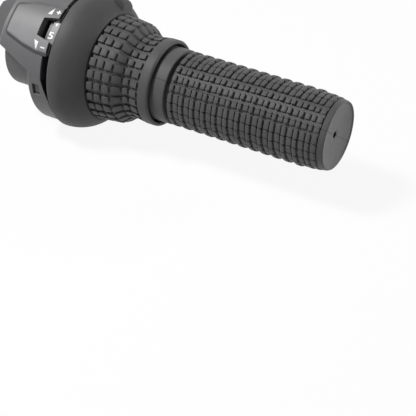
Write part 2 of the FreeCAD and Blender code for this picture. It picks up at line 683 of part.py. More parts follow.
def clamp_nut():
    """Square nut, captive in the second ear."""
    half = NUT_SIDE / 2
    nut = block(BOLT_X - half, BOLT_X + half, -EAR_HALF, -EAR_HALF + NUT_THICK,
                BOLT_RADIUS_FROM_BAR - half, BOLT_RADIUS_FROM_BAR + half)
    return turned(nut.cut(cross_rod(BOLT_R, BOLT_X, -EAR_HALF - OVERCUT, 0, BOLT_RADIUS_FROM_BAR)), CLAMP_ANGLE)


def cable_guide():
    """Curved tube from the boss to the spool's groove."""
    outer = guide_solid(GUIDE_R, GUIDE_FIRST, INSERT_X1)
    tube_wall = outer.cut(guide_solid(GUIDE_BORE_R, 0, INSERT_X1 - OVERCUT))
    return tube_wall.cut(rod(0, SPOOL_BOSS_X, SPOOL_FLANGE_R + AXIAL_PLAY))


def adjuster_insert():
    """Threaded insert pressed into the boss."""
    outer = boss_rod(SPRING_SEAT_X, INSERT_X1, INSERT_R)
    return outer.cut(boss_rod(SPRING_SEAT_X - OVERCUT, INSERT_X1 + OVERCUT, THREAD_R + ADJUSTER_RUNNING))


def adjuster_spring():
    """Coil spring of square wire between the insert and the barrel."""
    length = SPRING_SEAT_X - BARREL_X1 - 2 * (SPRING_WIRE_R + SPRING_END_GAP)
    pitch = length / SPRING_TURNS
    helix = Part.makeHelix(pitch, length, SPRING_R)
    corners = [(-1, -1), (1, -1), (1, 1), (-1, 1), (-1, -1)]
    wire = Part.makePolygon([Vec(SPRING_R + a * SPRING_WIRE_R, 0, b * SPRING_WIRE_R) for a, b in corners])
    coil = Part.Wire(helix).makePipeShell([wire], True, True)
    coil.rotate(ORIGIN, Vec(0, 1, 0), 90)
    place = radial(BOSS_ANGLE, BOSS_LINE_R, BARREL_X1 + SPRING_WIRE_R + SPRING_END_GAP)
    coil.translate(place)
    return coil


def barrel_adjuster():
    """Fluted barrel with a threaded stem and the socket for the cable housing."""
    points = []
    for i in range(2 * BARREL_FLUTES):
        radius = BARREL_R - (i % 2) * BARREL_FLUTE_DEPTH
        turn = math.pi * i / BARREL_FLUTES
        points.append(Vec(0, radius * math.cos(turn), radius * math.sin(turn)))
    fluted = polygon_face(points).extrude(Vec(BARREL_X1 - BARREL_X0, 0, 0))
    place = radial(BOSS_ANGLE, BOSS_LINE_R, BARREL_X0)
    fluted.translate(place)
    ends = revolved([(BARREL_X0, 0), (BARREL_X0, BARREL_NECK_R), (BARREL_X0 + BARREL_NECK, BARREL_R),
                     (BARREL_X1 - BARREL_EDGE, BARREL_R), (BARREL_X1, BARREL_R - BARREL_EDGE), (BARREL_X1, 0)])
    ends.translate(Vec(0, place.y, place.z))
    barrel = fluted.common(ends)
    stem = boss_rod(BARREL_X1 - OVERCUT, INSERT_X1 - STEM_SHORT, THREAD_R)
    adjuster = fused([barrel, stem])
    adjuster = adjuster.cut(boss_rod(BARREL_X0 - OVERCUT, BARREL_X0 + HOUSING_SOCKET_DEPTH, HOUSING_SOCKET_R))
    return adjuster.cut(boss_rod(BARREL_X0, INSERT_X1 + OVERCUT, GUIDE_BORE_R))


def retaining_ring():
    """Ring that keeps the turning parts in, held by its tabs in the drum's slots."""
    pieces = [tube(RETAINER_X0, RETAINER_X1, RETAINER_INNER_R, DRUM_INNER_R - RETAINER_PLAY)]
    for i in range(TAB_COUNT):
        angle = TAB_ANGLE + i * 360 / TAB_COUNT
        pieces.append(sector(TAB_X0, RETAINER_X1, DRUM_INNER_R - WALL, TAB_R, angle, TAB_SECTOR))
    return fused(pieces)


def cable_port_plug():
    """Push-in plug of the hole that the cable is threaded through."""
    stem_foot = Vec(PORT_X, 0, SPOOL_CHAMBER_R + PLUG_GAP)
    head_foot = Vec(PORT_X, 0, COLLAR_R + PLUG_GAP / 2)
    stem = Part.makeCylinder(PLUG_STEM_R, COLLAR_R - SPOOL_CHAMBER_R, stem_foot, Vec(0, 0, 1))
    head = Part.makeCylinder(PLUG_HEAD_R, PLUG_HEAD, head_foot, Vec(0, 0, 1))
    outer = [e for e in head.Edges if e.BoundBox.ZMin > COLLAR_R + PLUG_HEAD / 2]
    head = head.makeFillet(PLUG_HEAD_ROUND, outer)
    return turned(fused([stem, head]), PORT_ANGLE)


def cable_spool():
    """Grooved drum that winds the cable, with the pocket for the cable's end."""
    floor = CABLE_LINE_R - CABLE_R
    g0 = SPOOL_GROOVE_X - GROOVE_HALF
    g1 = SPOOL_GROOVE_X + GROOVE_HALF
    profile = [(SPOOL_X0, HUB_SEAT_R), (SPOOL_X0, SPOOL_FLANGE_R), (g0, SPOOL_FLANGE_R), (g0, floor)]
    profile += [(g1, floor), (g1, SPOOL_FLANGE_R), (SPOOL_BOSS_X, SPOOL_FLANGE_R), (SPOOL_BOSS_X, SPOOL_BOSS_R)]
    profile += [(SPOOL_X1, SPOOL_BOSS_R), (SPOOL_X1, HUB_SEAT_R)]
    spool = revolved(profile)
    root = (HUB_SEAT_R + floor) / 2
    lug = sector(SPOOL_X0, SPOOL_BOSS_X - GROOVE_HALF, root, POCKET_LUG_R, POCKET_ANGLE, POCKET_LUG_SECTOR)
    spool = fused([spool, lug])
    pocket = cross_rod(CABLE_END_R, SPOOL_GROOVE_X, -CABLE_END_LENGTH, CABLE_END_LENGTH / 2, POCKET_LINE_R)
    exit_hole = cross_rod(GROOVE_HALF, SPOOL_GROOVE_X, 0, CABLE_EXIT_REACH, CABLE_LINE_R)
    cuts = [turned(pocket, POCKET_ANGLE), turned(exit_hole, POCKET_ANGLE)]
    for i in range(DOGS):
        start = SPOOL_X1 - DOG_LENGTH - DOG_CLEARANCE
        angle = i * 360 / DOGS
        slot = sector(start, SPOOL_X1 + OVERCUT, HUB_INNER_R, SPOOL_BOSS_R + OVERCUT, angle, DOG_SLOT_SECTOR)
        cuts.append(slot)
    return spool.cut(cuts)


def detent_ring():
    """Notched ring, with one notch for each gear."""
    ring = tube(DETENT_X0, SPOOL_X1, SPOOL_BOSS_R, DETENT_R)
    notches = []
    for gear in range(1, GEARS + 1):
        angle = DETENT_ANGLE + GEAR_STEP * (REST_GEAR - gear)
        place = radial(angle, DETENT_NOTCH_LINE_R, DETENT_X0 - OVERCUT)
        notches.append(Part.makeCylinder(DETENT_NOTCH_R, SPOOL_X1 - DETENT_X0 + 2 * OVERCUT, place, ALONG_BAR))
    return ring.cut(notches)


def number_ring():
    """Ring in the bell's mouth, with the band that carries the numbers."""
    step_x = BAND_X1 - BAND_STEP
    low = RING_SEAT_R - RING_THICK / 2
    seat = tube(step_x, RING_X1, RING_INNER_R, RING_SEAT_R)
    sweep = BAND_END - BAND_START
    band_profile = [(BAND_X0, BAND_R - BAND_THICK), (BAND_X0, BAND_R), (BAND_X1, BAND_R), (BAND_X1, low),
                    (step_x, low), (step_x, BAND_R - BAND_THICK)]
    return fused([seat, revolved(band_profile, sweep, BAND_START)])


def bell_edges(inset, start_x, start_r):
    """The bell's curve from its mouth to the waist, moved inwards by an inset."""
    first = Vec(start_x, 0, start_r)
    middle = Vec(BELL_MIDDLE_X - inset * 0.35, 0, BELL_MIDDLE_R - inset * 0.94)
    last = Vec(BELL_END_X - inset * 0.65, 0, BELL_END_R - inset)
    return Part.Arc(first, middle, last).toShape(), last


def waist_radius(x):
    """The block tops' radius at a place along the waist."""
    for (x0, r0), (x1, r1) in zip(WAIST, WAIST[1:]):
        if x <= x1:
            return r0 + (r1 - r0) * (x - x0) / (x1 - x0)
    return WAIST[-1][1]


def outline_solid(edges):
    """A closed outline in the X-Z plane, revolved around the bar."""
    return Part.Face(Part.Wire(edges)).revolve(ORIGIN, ALONG_BAR, 360)


def line_chain(points):
    """Straight edges through (x, radius) points."""
    corners = [Vec(x, 0, r) for x, r in points]
    return [Part.LineSegment(a, b).toShape() for a, b in zip(corners, corners[1:])]


def core_surface():
    """The rigid core's outer outline, from the bell's mouth to the hub's end, as edges."""
    mouth_x = GRIP_LIP_X + CORE_LIP
    arc, last = bell_edges(RUBBER, mouth_x, BELL_R - RUBBER)
    points = [(last.x, last.z)] + [(x, r - RUBBER - BLOCK_HEIGHT / 2) for x, r in WAIST[1:3]]
    points += [(HUB_TAPER_X, HUB_END_R), (HUB_END_X, HUB_END_R)]
    return [arc] + line_chain(points), mouth_x


def grip_sleeve():
    """Rigid core of the twist grip: hub, hollow bell and its ribs."""
    outer, mouth_x = core_surface()
    closing = line_chain([(HUB_END_X, HUB_END_R), (HUB_END_X, HUB_INNER_R), (mouth_x, HUB_INNER_R),
                          (mouth_x, BELL_R - RUBBER)])
    bell = outline_solid(outer + closing)
    arc, last = bell_edges(RUBBER + CORE_WALL, RING_X1, RING_SEAT_R)
    cavity_floor = line_chain([(last.x, last.z), (CAVITY_END_X - CORE_RIB, CAVITY_END_R + CORE_RIB),
                               (CAVITY_END_X, CAVITY_END_R), (CAVITY_END_X, HUB_R), (mouth_x - OVERCUT, HUB_R),
                               (mouth_x - OVERCUT, RING_SEAT_R), (RING_X1, RING_SEAT_R)])
    cavity = outline_solid([arc] + cavity_floor)
    ribs = []
    for i in range(CORE_RIBS):
        rib = block(RING_X1, CAVITY_END_X + OVERCUT, -CORE_RIB / 2, CORE_RIB / 2, HUB_SEAT_R, BELL_R)
        ribs.append(turned(rib, WINDOW_ANGLE + i * 360 / CORE_RIBS))
    shell = bell.cut(cavity.cut(ribs))
    hub = tube(SPOOL_X1, mouth_x + OVERCUT, HUB_INNER_R, HUB_R)
    seat = tube(SPOOL_X0, SPOOL_X1 + OVERCUT, HUB_INNER_R, HUB_SEAT_R)
    root = (HUB_INNER_R + HUB_SEAT_R) / 2
    dogs = []
    for i in range(DOGS):
        dogs.append(sector(SPOOL_X1 - DOG_LENGTH, SPOOL_X1 + OVERCUT, root, HUB_R, i * 360 / DOGS, DOG_SECTOR))
    return fused([shell, hub, seat] + dogs)


def waist_row():
    """One row of waist blocks as a strip with flat tops, drawn with its middle up."""
    half = WAIST_BLOCK_SHARE * 180 / WAIST_ROWS
    x0 = WAIST_COLUMNS[0][0]
    x1 = WAIST_COLUMNS[-1][1]
    top = []
    for a, b in WAIST_COLUMNS:
        top += [(a, waist_radius(a) - BLOCK_HEIGHT), (a, waist_radius(a))]
        top += [(b, waist_radius(b)), (b, waist_radius(b) - BLOCK_HEIGHT)]
    low = [(x1, waist_radius(x1) - 2 * BLOCK_HEIGHT)]
    low += [(x, r - 2 * BLOCK_HEIGHT) for x, r in reversed(WAIST[1:4])]
    low.append((x0, waist_radius(x0) - 2 * BLOCK_HEIGHT))
    face = polygon_face([Vec(x, 0, r) for x, r in top + low])
    reach = math.tan(math.radians(half)) * (BELL_END_R + END_RING_R) / 2
    face.translate(Vec(0, -reach, 0))
    return face.extrude(Vec(0, 2 * reach, 0))


def grip_rubber():
    """Soft cover of the twist grip: smooth bell, six columns of blocks and the end ring."""
    inner, mouth_x = core_surface()
    arc, last = bell_edges(0, BELL_ROUND_X, BELL_R)
    floor_points = [(last.x, last.z), (BELL_END_X, waist_radius(BELL_END_X) - BLOCK_HEIGHT)]
    floor_points += [(x, r - BLOCK_HEIGHT) for x, r in WAIST[1:4]]
    floor_points += [(END_RING_X, END_RING_R - BLOCK_HEIGHT), (END_RING_X, END_RING_R - END_RING_EDGE),
                     (END_RING_X + END_RING_EDGE, END_RING_R)]
    floor_points += [(GRIP_END_X - END_RING_ROUND, END_RING_R), (GRIP_END_X, END_RING_R - END_RING_ROUND),
                     (GRIP_END_X, RECESS_R), (HUB_END_X, RECESS_R), (HUB_END_X, HUB_END_R)]
    round_start = Vec(GRIP_LIP_X, 0, BELL_R - MOUTH_ROUND)
    round_middle = Vec(GRIP_LIP_X + 0.3 * MOUTH_ROUND, 0, BELL_R - 0.3 * MOUTH_ROUND)
    rounding = Part.Arc(round_start, round_middle, Vec(BELL_ROUND_X, 0, BELL_R)).toShape()
    lip = line_chain([(mouth_x, BELL_R - RUBBER), (mouth_x, GRIP_LIP_R0), (GRIP_LIP_X, GRIP_LIP_R0),
                      (round_start.x, round_start.z)])
    cover = outline_solid(inner + lip + [rounding, arc] + line_chain(floor_points))
    row = waist_row()
    rows = [turned(row, WAIST_ROW_ANGLE + i * 360 / WAIST_ROWS) for i in range(WAIST_ROWS)]
    return fused([cover] + rows)


def thrust_washer():
    """Washer between the liner's end and the half grip."""
    return tube(LINER_X1, LINER_X1 + WASHER, WASHER_BORE_R, WASHER_R)


def half_row():
    """One row of the half grip's blocks, high and low by turns, drawn with its middle up."""
    pitch = (HALF_TEXTURE_X1 - HALF_TEXTURE_X0) / HALF_PAIRS
    high_x = pitch * HIGH_SHARE
    groove = pitch * GROOVE_SHARE
    low_x = pitch - high_x - 2 * groove
    points = []
    for i in range(HALF_PAIRS):
        x = HALF_TEXTURE_X0 + i * pitch
        for start, length, rise in ((x, high_x, HIGH_BLOCK), (x + high_x + groove, low_x, LOW_BLOCK)):
            top = HALF_FLOOR_R + rise
            points += [(start, HALF_BAND_R), (start, top), (start + length, top), (start + length, HALF_BAND_R)]
    points += [(points[-1][0], HALF_FLOOR_R - OVERCUT), (HALF_TEXTURE_X0, HALF_FLOOR_R - OVERCUT)]
    face = polygon_face([Vec(x, 0, r) for x, r in points])
    reach = math.tan(math.radians(HALF_BLOCK_SHARE * 180 / HALF_ROWS)) * (HALF_FLOOR_R + HIGH_BLOCK)
    face.translate(Vec(0, -reach, 0))
    return face.extrude(Vec(0, 2 * reach, 0))


def half_grip():
    """Stationary grip: collar, block pattern, closed end with a vent."""
    edge = HALF_EDGE
    profile = [(HALF_X0, HALF_GRIP_BORE_R), (HALF_X0, HALF_COLLAR_R - edge), (HALF_X0 + edge, HALF_COLLAR_R)]
    profile += [(HALF_COLLAR_X1 - edge, HALF_COLLAR_R), (HALF_COLLAR_X1, HALF_COLLAR_R - edge)]
    profile += [(HALF_COLLAR_X1, HALF_FLOOR_R), (HALF_TEXTURE_X1, HALF_FLOOR_R), (HALF_TEXTURE_X1, HALF_BAND_R)]
    profile += [(HALF_END_X - edge, HALF_BAND_R - HALF_BAND_FALL), (HALF_END_X, HALF_RIM_R)]
    profile += [(HALF_END_X - DISH_DEPTH, VENT_R), (HALF_END_X - END_WALL, VENT_R)]
    profile.append((HALF_END_X - END_WALL, HALF_GRIP_BORE_R))
    core = revolved(profile)
    row = half_row()
    rows = [turned(row, HALF_ROW_ANGLE + i * 360 / HALF_ROWS) for i in range(HALF_ROWS)]
    return fused([core] + rows)


NODES = {
    "main_housing": main_housing,
    "indicator_cover": indicator_cover,
    "liner_tube": liner_tube,
    "clamp_bolt": clamp_bolt,
    "bolt_washer": bolt_washer,
    "clamp_nut": clamp_nut,
    "cable_guide": cable_guide,
    "adjuster_insert": adjuster_insert,
    "adjuster_spring": adjuster_spring,
    "detent_spring": detent_spring,
    "retaining_ring": retaining_ring,
    "cable_port_plug": cable_port_plug,
    "thrust_washer": thrust_washer,
    "half_grip": half_grip,
    "grip_sleeve": grip_sleeve,
    "grip_rubber": grip_rubber,
    "cable_spool": cable_spool,
    "detent_ring": detent_ring,
    "number_ring": number_ring,
    "barrel_adjuster": barrel_adjuster,
}


def main():
    os.makedirs("parts", exist_ok=True)
    for name, build in NODES.items():
        shape = build()
        print(name, "solids", len(shape.Solids), "volume", round(shape.Volume, 1), "valid", shape.isValid())
        shape.exportStep("parts/" + name + ".step")


main()
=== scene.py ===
"""Twist grip shifter: rubber covers with their blocks, printed marks, finishes and a plain studio.

Metres in Blender, millimetres in the outlines below. X runs along the handlebar, and an angle around the bar
is 0 towards the rider (-Y), 90 at the top (+Z) and 180 forward (+Y).
"""

import json
import math

import bmesh
import bpy
from bpy.props import FloatProperty, FloatVectorProperty, IntProperty, PointerProperty
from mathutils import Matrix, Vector

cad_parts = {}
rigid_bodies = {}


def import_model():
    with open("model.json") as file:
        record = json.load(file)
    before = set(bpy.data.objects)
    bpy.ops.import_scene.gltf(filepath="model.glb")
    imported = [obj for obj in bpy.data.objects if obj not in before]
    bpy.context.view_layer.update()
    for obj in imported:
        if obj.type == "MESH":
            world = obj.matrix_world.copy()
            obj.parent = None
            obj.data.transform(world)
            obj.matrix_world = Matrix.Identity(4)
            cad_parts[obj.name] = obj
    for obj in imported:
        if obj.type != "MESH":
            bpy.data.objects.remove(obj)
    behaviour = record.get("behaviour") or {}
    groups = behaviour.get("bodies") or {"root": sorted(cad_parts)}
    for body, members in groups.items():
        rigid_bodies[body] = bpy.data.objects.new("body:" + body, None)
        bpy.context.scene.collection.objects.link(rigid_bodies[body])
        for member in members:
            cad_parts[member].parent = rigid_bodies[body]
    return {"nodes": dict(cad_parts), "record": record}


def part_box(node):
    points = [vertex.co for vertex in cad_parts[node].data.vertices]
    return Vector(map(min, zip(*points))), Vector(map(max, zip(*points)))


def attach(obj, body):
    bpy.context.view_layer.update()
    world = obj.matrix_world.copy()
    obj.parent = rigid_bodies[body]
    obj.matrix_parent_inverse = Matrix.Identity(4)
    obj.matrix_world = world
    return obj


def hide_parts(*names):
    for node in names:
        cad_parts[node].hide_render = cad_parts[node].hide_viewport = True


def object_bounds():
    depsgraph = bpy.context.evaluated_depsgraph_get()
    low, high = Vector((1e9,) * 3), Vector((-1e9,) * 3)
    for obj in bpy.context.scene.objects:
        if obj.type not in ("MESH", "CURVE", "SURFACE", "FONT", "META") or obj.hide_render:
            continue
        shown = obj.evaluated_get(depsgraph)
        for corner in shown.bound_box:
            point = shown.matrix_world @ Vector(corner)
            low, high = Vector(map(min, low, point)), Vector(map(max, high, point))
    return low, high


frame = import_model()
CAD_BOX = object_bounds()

bl_info = {
    "name": "Twist grip shifter",
    "version": (1, 0, 0),
    "blender": (4, 5, 0),
    "location": "View3D > Sidebar > Shifter",
    "description": "Models the shifter's rubber covers and prints, and gives every part its finish",
    "category": "Add Mesh",
}

MM = 0.001
WELD = 0.001 * MM  # points closer than this are merged
SAME_PLACE = 0.01 * MM  # points closer than this are taken as one place
SMOOTH_ANGLE = 38.0  # faces that meet at less than this are shaded as one
HOOD_ANGLE = 50.0  # the hood's middle plane, around the bar


# Places around the bar and selections

def on_bar(x, radius, angle=90.0):
    """The point at a place along the bar, a radius and an angle around it, in millimetres and degrees."""
    turn = math.radians(angle)
    return Vector((x, -radius * math.cos(turn), radius * math.sin(turn))) * MM


def radius_of(point):
    """A point's distance from the bar's axis, in millimetres."""
    return math.hypot(point.y, point.z) / MM


def deselect_all():
    """Back to object mode with nothing selected."""
    if bpy.context.object and bpy.context.object.mode != "OBJECT":
        bpy.ops.object.mode_set(mode="OBJECT")
    bpy.ops.object.select_all(action="DESELECT")


def pick(piece):
    """Selects one object and makes it active."""
    deselect_all()
    piece.select_set(True)
    bpy.context.view_layer.objects.active = piece


def new_piece(name):
    """An empty mesh object at the origin, in edit mode."""
    deselect_all()
    bpy.ops.object.add(type="MESH", enter_editmode=True, location=(0, 0, 0))
    piece = bpy.context.object
    piece.name = piece.data.name = name
    return piece


def choose(piece, kind, test):
    """Selects the vertices, edges or faces that pass a test, and nothing else."""
    bpy.ops.mesh.select_mode(type=kind)
    bpy.ops.mesh.select_all(action="DESELECT")
    mesh = bmesh.from_edit_mesh(piece.data)
    for item in {"VERT": mesh.verts, "EDGE": mesh.edges, "FACE": mesh.faces}[kind]:
        item.select = test(item)
    mesh.select_flush_mode()
    bmesh.update_edit_mesh(piece.data)


def apply_modifier(piece, kind, **settings):
    """Adds a modifier with its settings and applies it."""
    pick(piece)
    modifier = piece.modifiers.new(kind.lower(), kind)
    for key, value in settings.items():
        setattr(modifier, key, value)
    bpy.ops.object.modifier_apply(modifier=modifier.name)


def join(pieces, name):
    """Joins objects into the first one."""
    deselect_all()
    for piece in pieces:
        piece.select_set(True)
    bpy.context.view_layer.objects.active = pieces[0]
    bpy.ops.object.join()
    pieces[0].name = pieces[0].data.name = name
    return pieces[0]


# Shapes drawn in edit mode

def draw(points, filled=False):
    """Extrudes a line of vertices from point to point, and fills it as a face if asked."""
    bpy.ops.mesh.select_mode(type="VERT")
    bpy.ops.mesh.primitive_plane_add(size=MM, location=points[0])
    bpy.ops.mesh.merge(type="CENTER")
    for here, there in zip(points, points[1:]):
        bpy.ops.mesh.extrude_vertices_move(TRANSFORM_OT_translate={"value": there - here})
    if filled:
        bpy.ops.mesh.select_linked()
        bpy.ops.mesh.edge_face_add()


def spin_all(angle, steps, center=(0, 0, 0), axis=(1, 0, 0)):
    """Spins all that is drawn, around the bar unless another axis is given, and turns the faces outwards."""
    bpy.ops.mesh.select_all(action="SELECT")
    bpy.ops.mesh.spin(steps=steps, angle=math.radians(angle), center=center, axis=axis)
    bpy.ops.mesh.select_all(action="SELECT")
    if angle == 360:
        bpy.ops.mesh.remove_doubles(threshold=WELD)
    bpy.ops.mesh.normals_make_consistent(inside=False)


def arc_through(first, middle, last, steps):
    """Points of the circle's arc through three (x, radius) points, both ends included."""
    (ax, ay), (bx, by), (cx, cy) = first, middle, last
    d = 2 * (ax * (by - cy) + bx * (cy - ay) + cx * (ay - by))
    sa, sb, sc = ax * ax + ay * ay, bx * bx + by * by, cx * cx + cy * cy
    ux = (sa * (by - cy) + sb * (cy - ay) + sc * (ay - by)) / d
    uy = (sa * (cx - bx) + sb * (ax - cx) + sc * (bx - ax)) / d
    radius = math.hypot(ax - ux, ay - uy)
    start = math.atan2(ay - uy, ax - ux)
    sweep = (math.atan2(cy - uy, cx - ux) - start + math.pi) % (2 * math.pi) - math.pi
    turns = [start + sweep * i / steps for i in range(steps + 1)]
    return [(ux + radius * math.cos(t), uy + radius * math.sin(t)) for t in turns]


def turned(name, outline, rounds, steps):
    """A closed outline of (x, radius) points, its listed corners rounded, spun once around the bar."""
    piece = new_piece(name)
    draw([on_bar(x, r) for x, r in outline + outline[:1]])
    bpy.ops.mesh.select_all(action="SELECT")
    bpy.ops.mesh.remove_doubles(threshold=WELD)
    for corner, size in rounds.items():
        place = on_bar(*corner)
        choose(piece, "VERT", lambda v: (v.co - place).length < SAME_PLACE)
        bpy.ops.mesh.bevel(offset=size * MM, segments=4, affect="VERTICES")
    spin_all(360, steps)
    deselect_all()
    return piece


def block_row(name, blocks, angle, width, sizes):
    """Rubber blocks in a row along the bar: each is a side face spun over its width, open below and rounded.

    A block is (x0, x1, foot radius, top radius at x0, top radius at x1, turn), in millimetres and degrees.
    """
    piece = new_piece(name)
    for x0, x1, foot, top0, top1, turn in blocks:
        side = angle + turn - width / 2
        draw([on_bar(x, r, side) for x, r in ((x0, foot), (x0, top0), (x1, top1), (x1, foot))], True)
    spin_all(width, 2)
    feet = {block[2] for block in blocks}

    def below(face):
        near = 0.02
        return all(any(abs(radius_of(v.co) - foot) < near for foot in feet) for v in face.verts)

    def upright(edge):
        least_rise, sharp = 0.3, 1.0
        start, end = (v.co for v in edge.verts)
        rises = abs(radius_of(start) - radius_of(end)) > least_rise
        return rises and abs(start.x - end.x) < SAME_PLACE and edge.calc_face_angle(0) > sharp

    def around_top(edge):
        end_on, outwards = 0.8, 0.6
        if not edge.is_manifold:
            return False
        at = edge.verts[0].co
        tops = [abs(f.normal.x) < end_on and f.normal.dot(at) > outwards * at.yz.length
                for f in edge.link_faces]
        return tops[0] != tops[1]

    choose(piece, "FACE", below)
    bpy.ops.mesh.delete(type="FACE")
    choose(piece, "EDGE", upright)
    bpy.ops.mesh.bevel(offset=sizes.block_corner, segments=2, affect="EDGES")
    choose(piece, "EDGE", around_top)
    bpy.ops.mesh.bevel(offset=sizes.block_edge, segments=2, affect="EDGES")
    deselect_all()
    return piece


def repeat_around(piece, count, step):
    """Copies a row around the bar, as often as given, in steps of an angle in degrees."""
    deselect_all()
    bpy.ops.object.empty_add(location=(0, 0, 0), rotation=(-math.radians(step), 0, 0))
    guide = bpy.context.object
    apply_modifier(piece, "ARRAY", count=count, use_relative_offset=False, use_object_offset=True,
                   offset_object=guide)
    bpy.data.objects.remove(guide)


def place_piece(piece, body, slot, finish, *replaced):
    """Gives a piece its finish and shading and lets it ride on its body."""
    pick(piece)
    piece.data.materials.clear()
    piece.data.materials.append(finish)
    bpy.ops.object.shade_smooth_by_angle(angle=math.radians(SMOOTH_ANGLE))
    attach(piece, body)
    if replaced:
        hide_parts(*replaced)


# Shader nodes

# Numbers of the sockets of a Mix node that mixes colours
MIX_AMOUNT, MIX_FIRST, MIX_SECOND, MIX_RESULT = 0, 6, 7, 2


def feed(tree, node, inputs):
    """Gives a node's inputs, by name or number, their values or links from other nodes' outputs."""
    for key, value in inputs.items():
        if isinstance(value, bpy.types.NodeSocket):
            tree.links.new(value, node.inputs[key])
        else:
            node.inputs[key].default_value = value


def add(tree, kind, inputs, **settings):
    """A shader node with its settings made and its inputs fed."""
    node = tree.nodes.new("ShaderNode" + kind)
    for key, value in settings.items():
        setattr(node, key, value)
    feed(tree, node, inputs)
    return node


def effect(name, inputs, outputs):
    """A new shader node group with its named sockets, what its input node gives, and its output node."""
    tree = bpy.data.node_groups.new(name, "ShaderNodeTree")
    for label, kind, value in inputs:
        socket = tree.interface.new_socket(name=label, in_out="INPUT", socket_type="NodeSocket" + kind)
        if value is not None:
            socket.default_value = value
    for label, kind in outputs:
        tree.interface.new_socket(name=label, in_out="OUTPUT", socket_type="NodeSocket" + kind)
    return tree, tree.nodes.new("NodeGroupInput").outputs, tree.nodes.new("NodeGroupOutput")


def place_effect(tree, build, inputs):
    """An effect placed in a material with its own values. Its group, named as its function, is built once."""
    node = tree.nodes.new("ShaderNodeGroup")
    node.node_tree = bpy.data.node_groups.get(build.__name__) or build()
    feed(tree, node, inputs)
    return node


def mould_grain():
    """Fine mould texture and broad patches: a height, a fine mask and a patch mask."""
    tree, given, out = effect(
        "mould_grain",
        [("Vector", "Vector", None), ("Fine Scale", "Float", 2500.0), ("Patch Scale", "Float", 60.0)],
        [("Height", "Float"), ("Fine", "Float"), ("Patches", "Float")],
    )
    fine = add(tree, "TexNoise", {"Vector": given["Vector"], "Scale": given["Fine Scale"],
                                  "Detail": 3.0, "Roughness": 0.6})
    patches = add(tree, "TexNoise", {"Vector": given["Vector"], "Scale": given["Patch Scale"],
                                     "Detail": 4.0, "Roughness": 0.55})
    spread = add(tree, "MapRange", {"Value": patches.outputs["Fac"], "From Min": 0.3, "From Max": 0.7})
    feed(tree, out, {"Height": fine.outputs["Fac"], "Fine": fine.outputs["Fac"],
                     "Patches": spread.outputs["Result"]})
    return tree


def worn_edges():
    """Rounded edges for light to catch: the rounded normal, and a mask of the edges that are lightened, as
    wear and as a painted highlight.
    """
    tree, given, out = effect(
        "worn_edges",
        [("Vector", "Vector", None), ("Radius", "Float", 0.0003), ("Breakup Scale", "Float", 300.0)],
        [("Normal", "Vector"), ("Wear", "Float")],
    )
    rounded = add(tree, "Bevel", {"Radius": given["Radius"]}, samples=6)
    geometry = add(tree, "NewGeometry", {})
    turn = add(tree, "VectorMath", {0: rounded.outputs["Normal"], 1: geometry.outputs["Normal"]},
               operation="DOT_PRODUCT")
    edge = add(tree, "MapRange", {"Value": turn.outputs["Value"], "From Min": 0.99, "From Max": 0.8})
    breakup = add(tree, "TexNoise", {"Vector": given["Vector"], "Scale": given["Breakup Scale"],
                                     "Detail": 3.0})
    edge_breakup = add(tree, "MapRange", {"Value": breakup.outputs["Fac"], "From Min": 0.4, "From Max": 0.65})
    wear = add(tree, "Math", {0: edge.outputs["Result"], 1: edge_breakup.outputs["Result"]},
               operation="MULTIPLY", use_clamp=True)
    feed(tree, out, {"Normal": rounded.outputs["Normal"], "Wear": wear.outputs["Value"]})
    return tree


def parting_line():
    """The fine line that the two mould halves leave, in a plane through the bar's axis."""
    tree, given, out = effect(
        "parting_line",
        [("Vector", "Vector", None), ("Across", "Vector", (0, 0, 1)), ("Width", "Float", 0.00012)],
        [("Line", "Float")],
    )
    off = add(tree, "VectorMath", {0: given["Vector"], 1: given["Across"]}, operation="DOT_PRODUCT")
    away = add(tree, "Math", {0: off.outputs["Value"]}, operation="ABSOLUTE")
    share = add(tree, "Math", {0: away.outputs["Value"], 1: given["Width"]}, operation="DIVIDE")
    line = add(tree, "MapRange", {"Value": share.outputs["Value"], "From Min": 1.0, "From Max": 0.4})
    feed(tree, out, {"Line": line.outputs["Result"]})
    return tree


def place_mask():
    """A mask from 0 to 1 between two places along the bar, two radii around it and two places to one side."""
    tree, given, out = effect(
        "place_mask",
        [("Vector", "Vector", None), ("X Start", "Float", -1.0), ("X End", "Float", -0.9),
         ("Radius Start", "Float", -1.0), ("Radius End", "Float", -0.9),
         ("Direction", "Vector", (0, 0, 1)), ("Side Start", "Float", -1.0), ("Side End", "Float", -0.9)],
        [("Mask", "Float")],
    )
    parts = add(tree, "SeparateXYZ", {"Vector": given["Vector"]})
    around = add(tree, "VectorMath", {0: given["Vector"], 1: (0, 1, 1)}, operation="MULTIPLY")
    radius = add(tree, "VectorMath", {0: around.outputs["Vector"]}, operation="LENGTH")
    side = add(tree, "VectorMath", {0: given["Vector"], 1: given["Direction"]}, operation="DOT_PRODUCT")
    places = {"X": parts.outputs["X"], "Radius": radius.outputs["Value"], "Side": side.outputs["Value"]}
    mask = 1.0
    for label, place in places.items():
        within = add(tree, "MapRange", {"Value": place, "From Min": given[label + " Start"],
                                        "From Max": given[label + " End"]})
        both = add(tree, "Math", {0: mask, 1: within.outputs["Result"]}, operation="MULTIPLY")
        mask = both.outputs["Value"]
    feed(tree, out, {"Mask": mask})
    return tree


def mixed(tree, amount, first, second, blend="MIX"):
    """Two colours mixed, as far as an amount from 0 to 1 says."""
    inputs = {MIX_AMOUNT: amount, MIX_FIRST: first, MIX_SECOND: second}
    return add(tree, "Mix", inputs, data_type="RGBA", blend_type=blend).outputs[MIX_RESULT]


def multiplied(tree, colour, amount, tone):
    """A colour multiplied by a tone, as far as an amount from 0 to 1 says."""
    return mixed(tree, amount, colour, (tone, tone, tone, 1.0), "MULTIPLY")


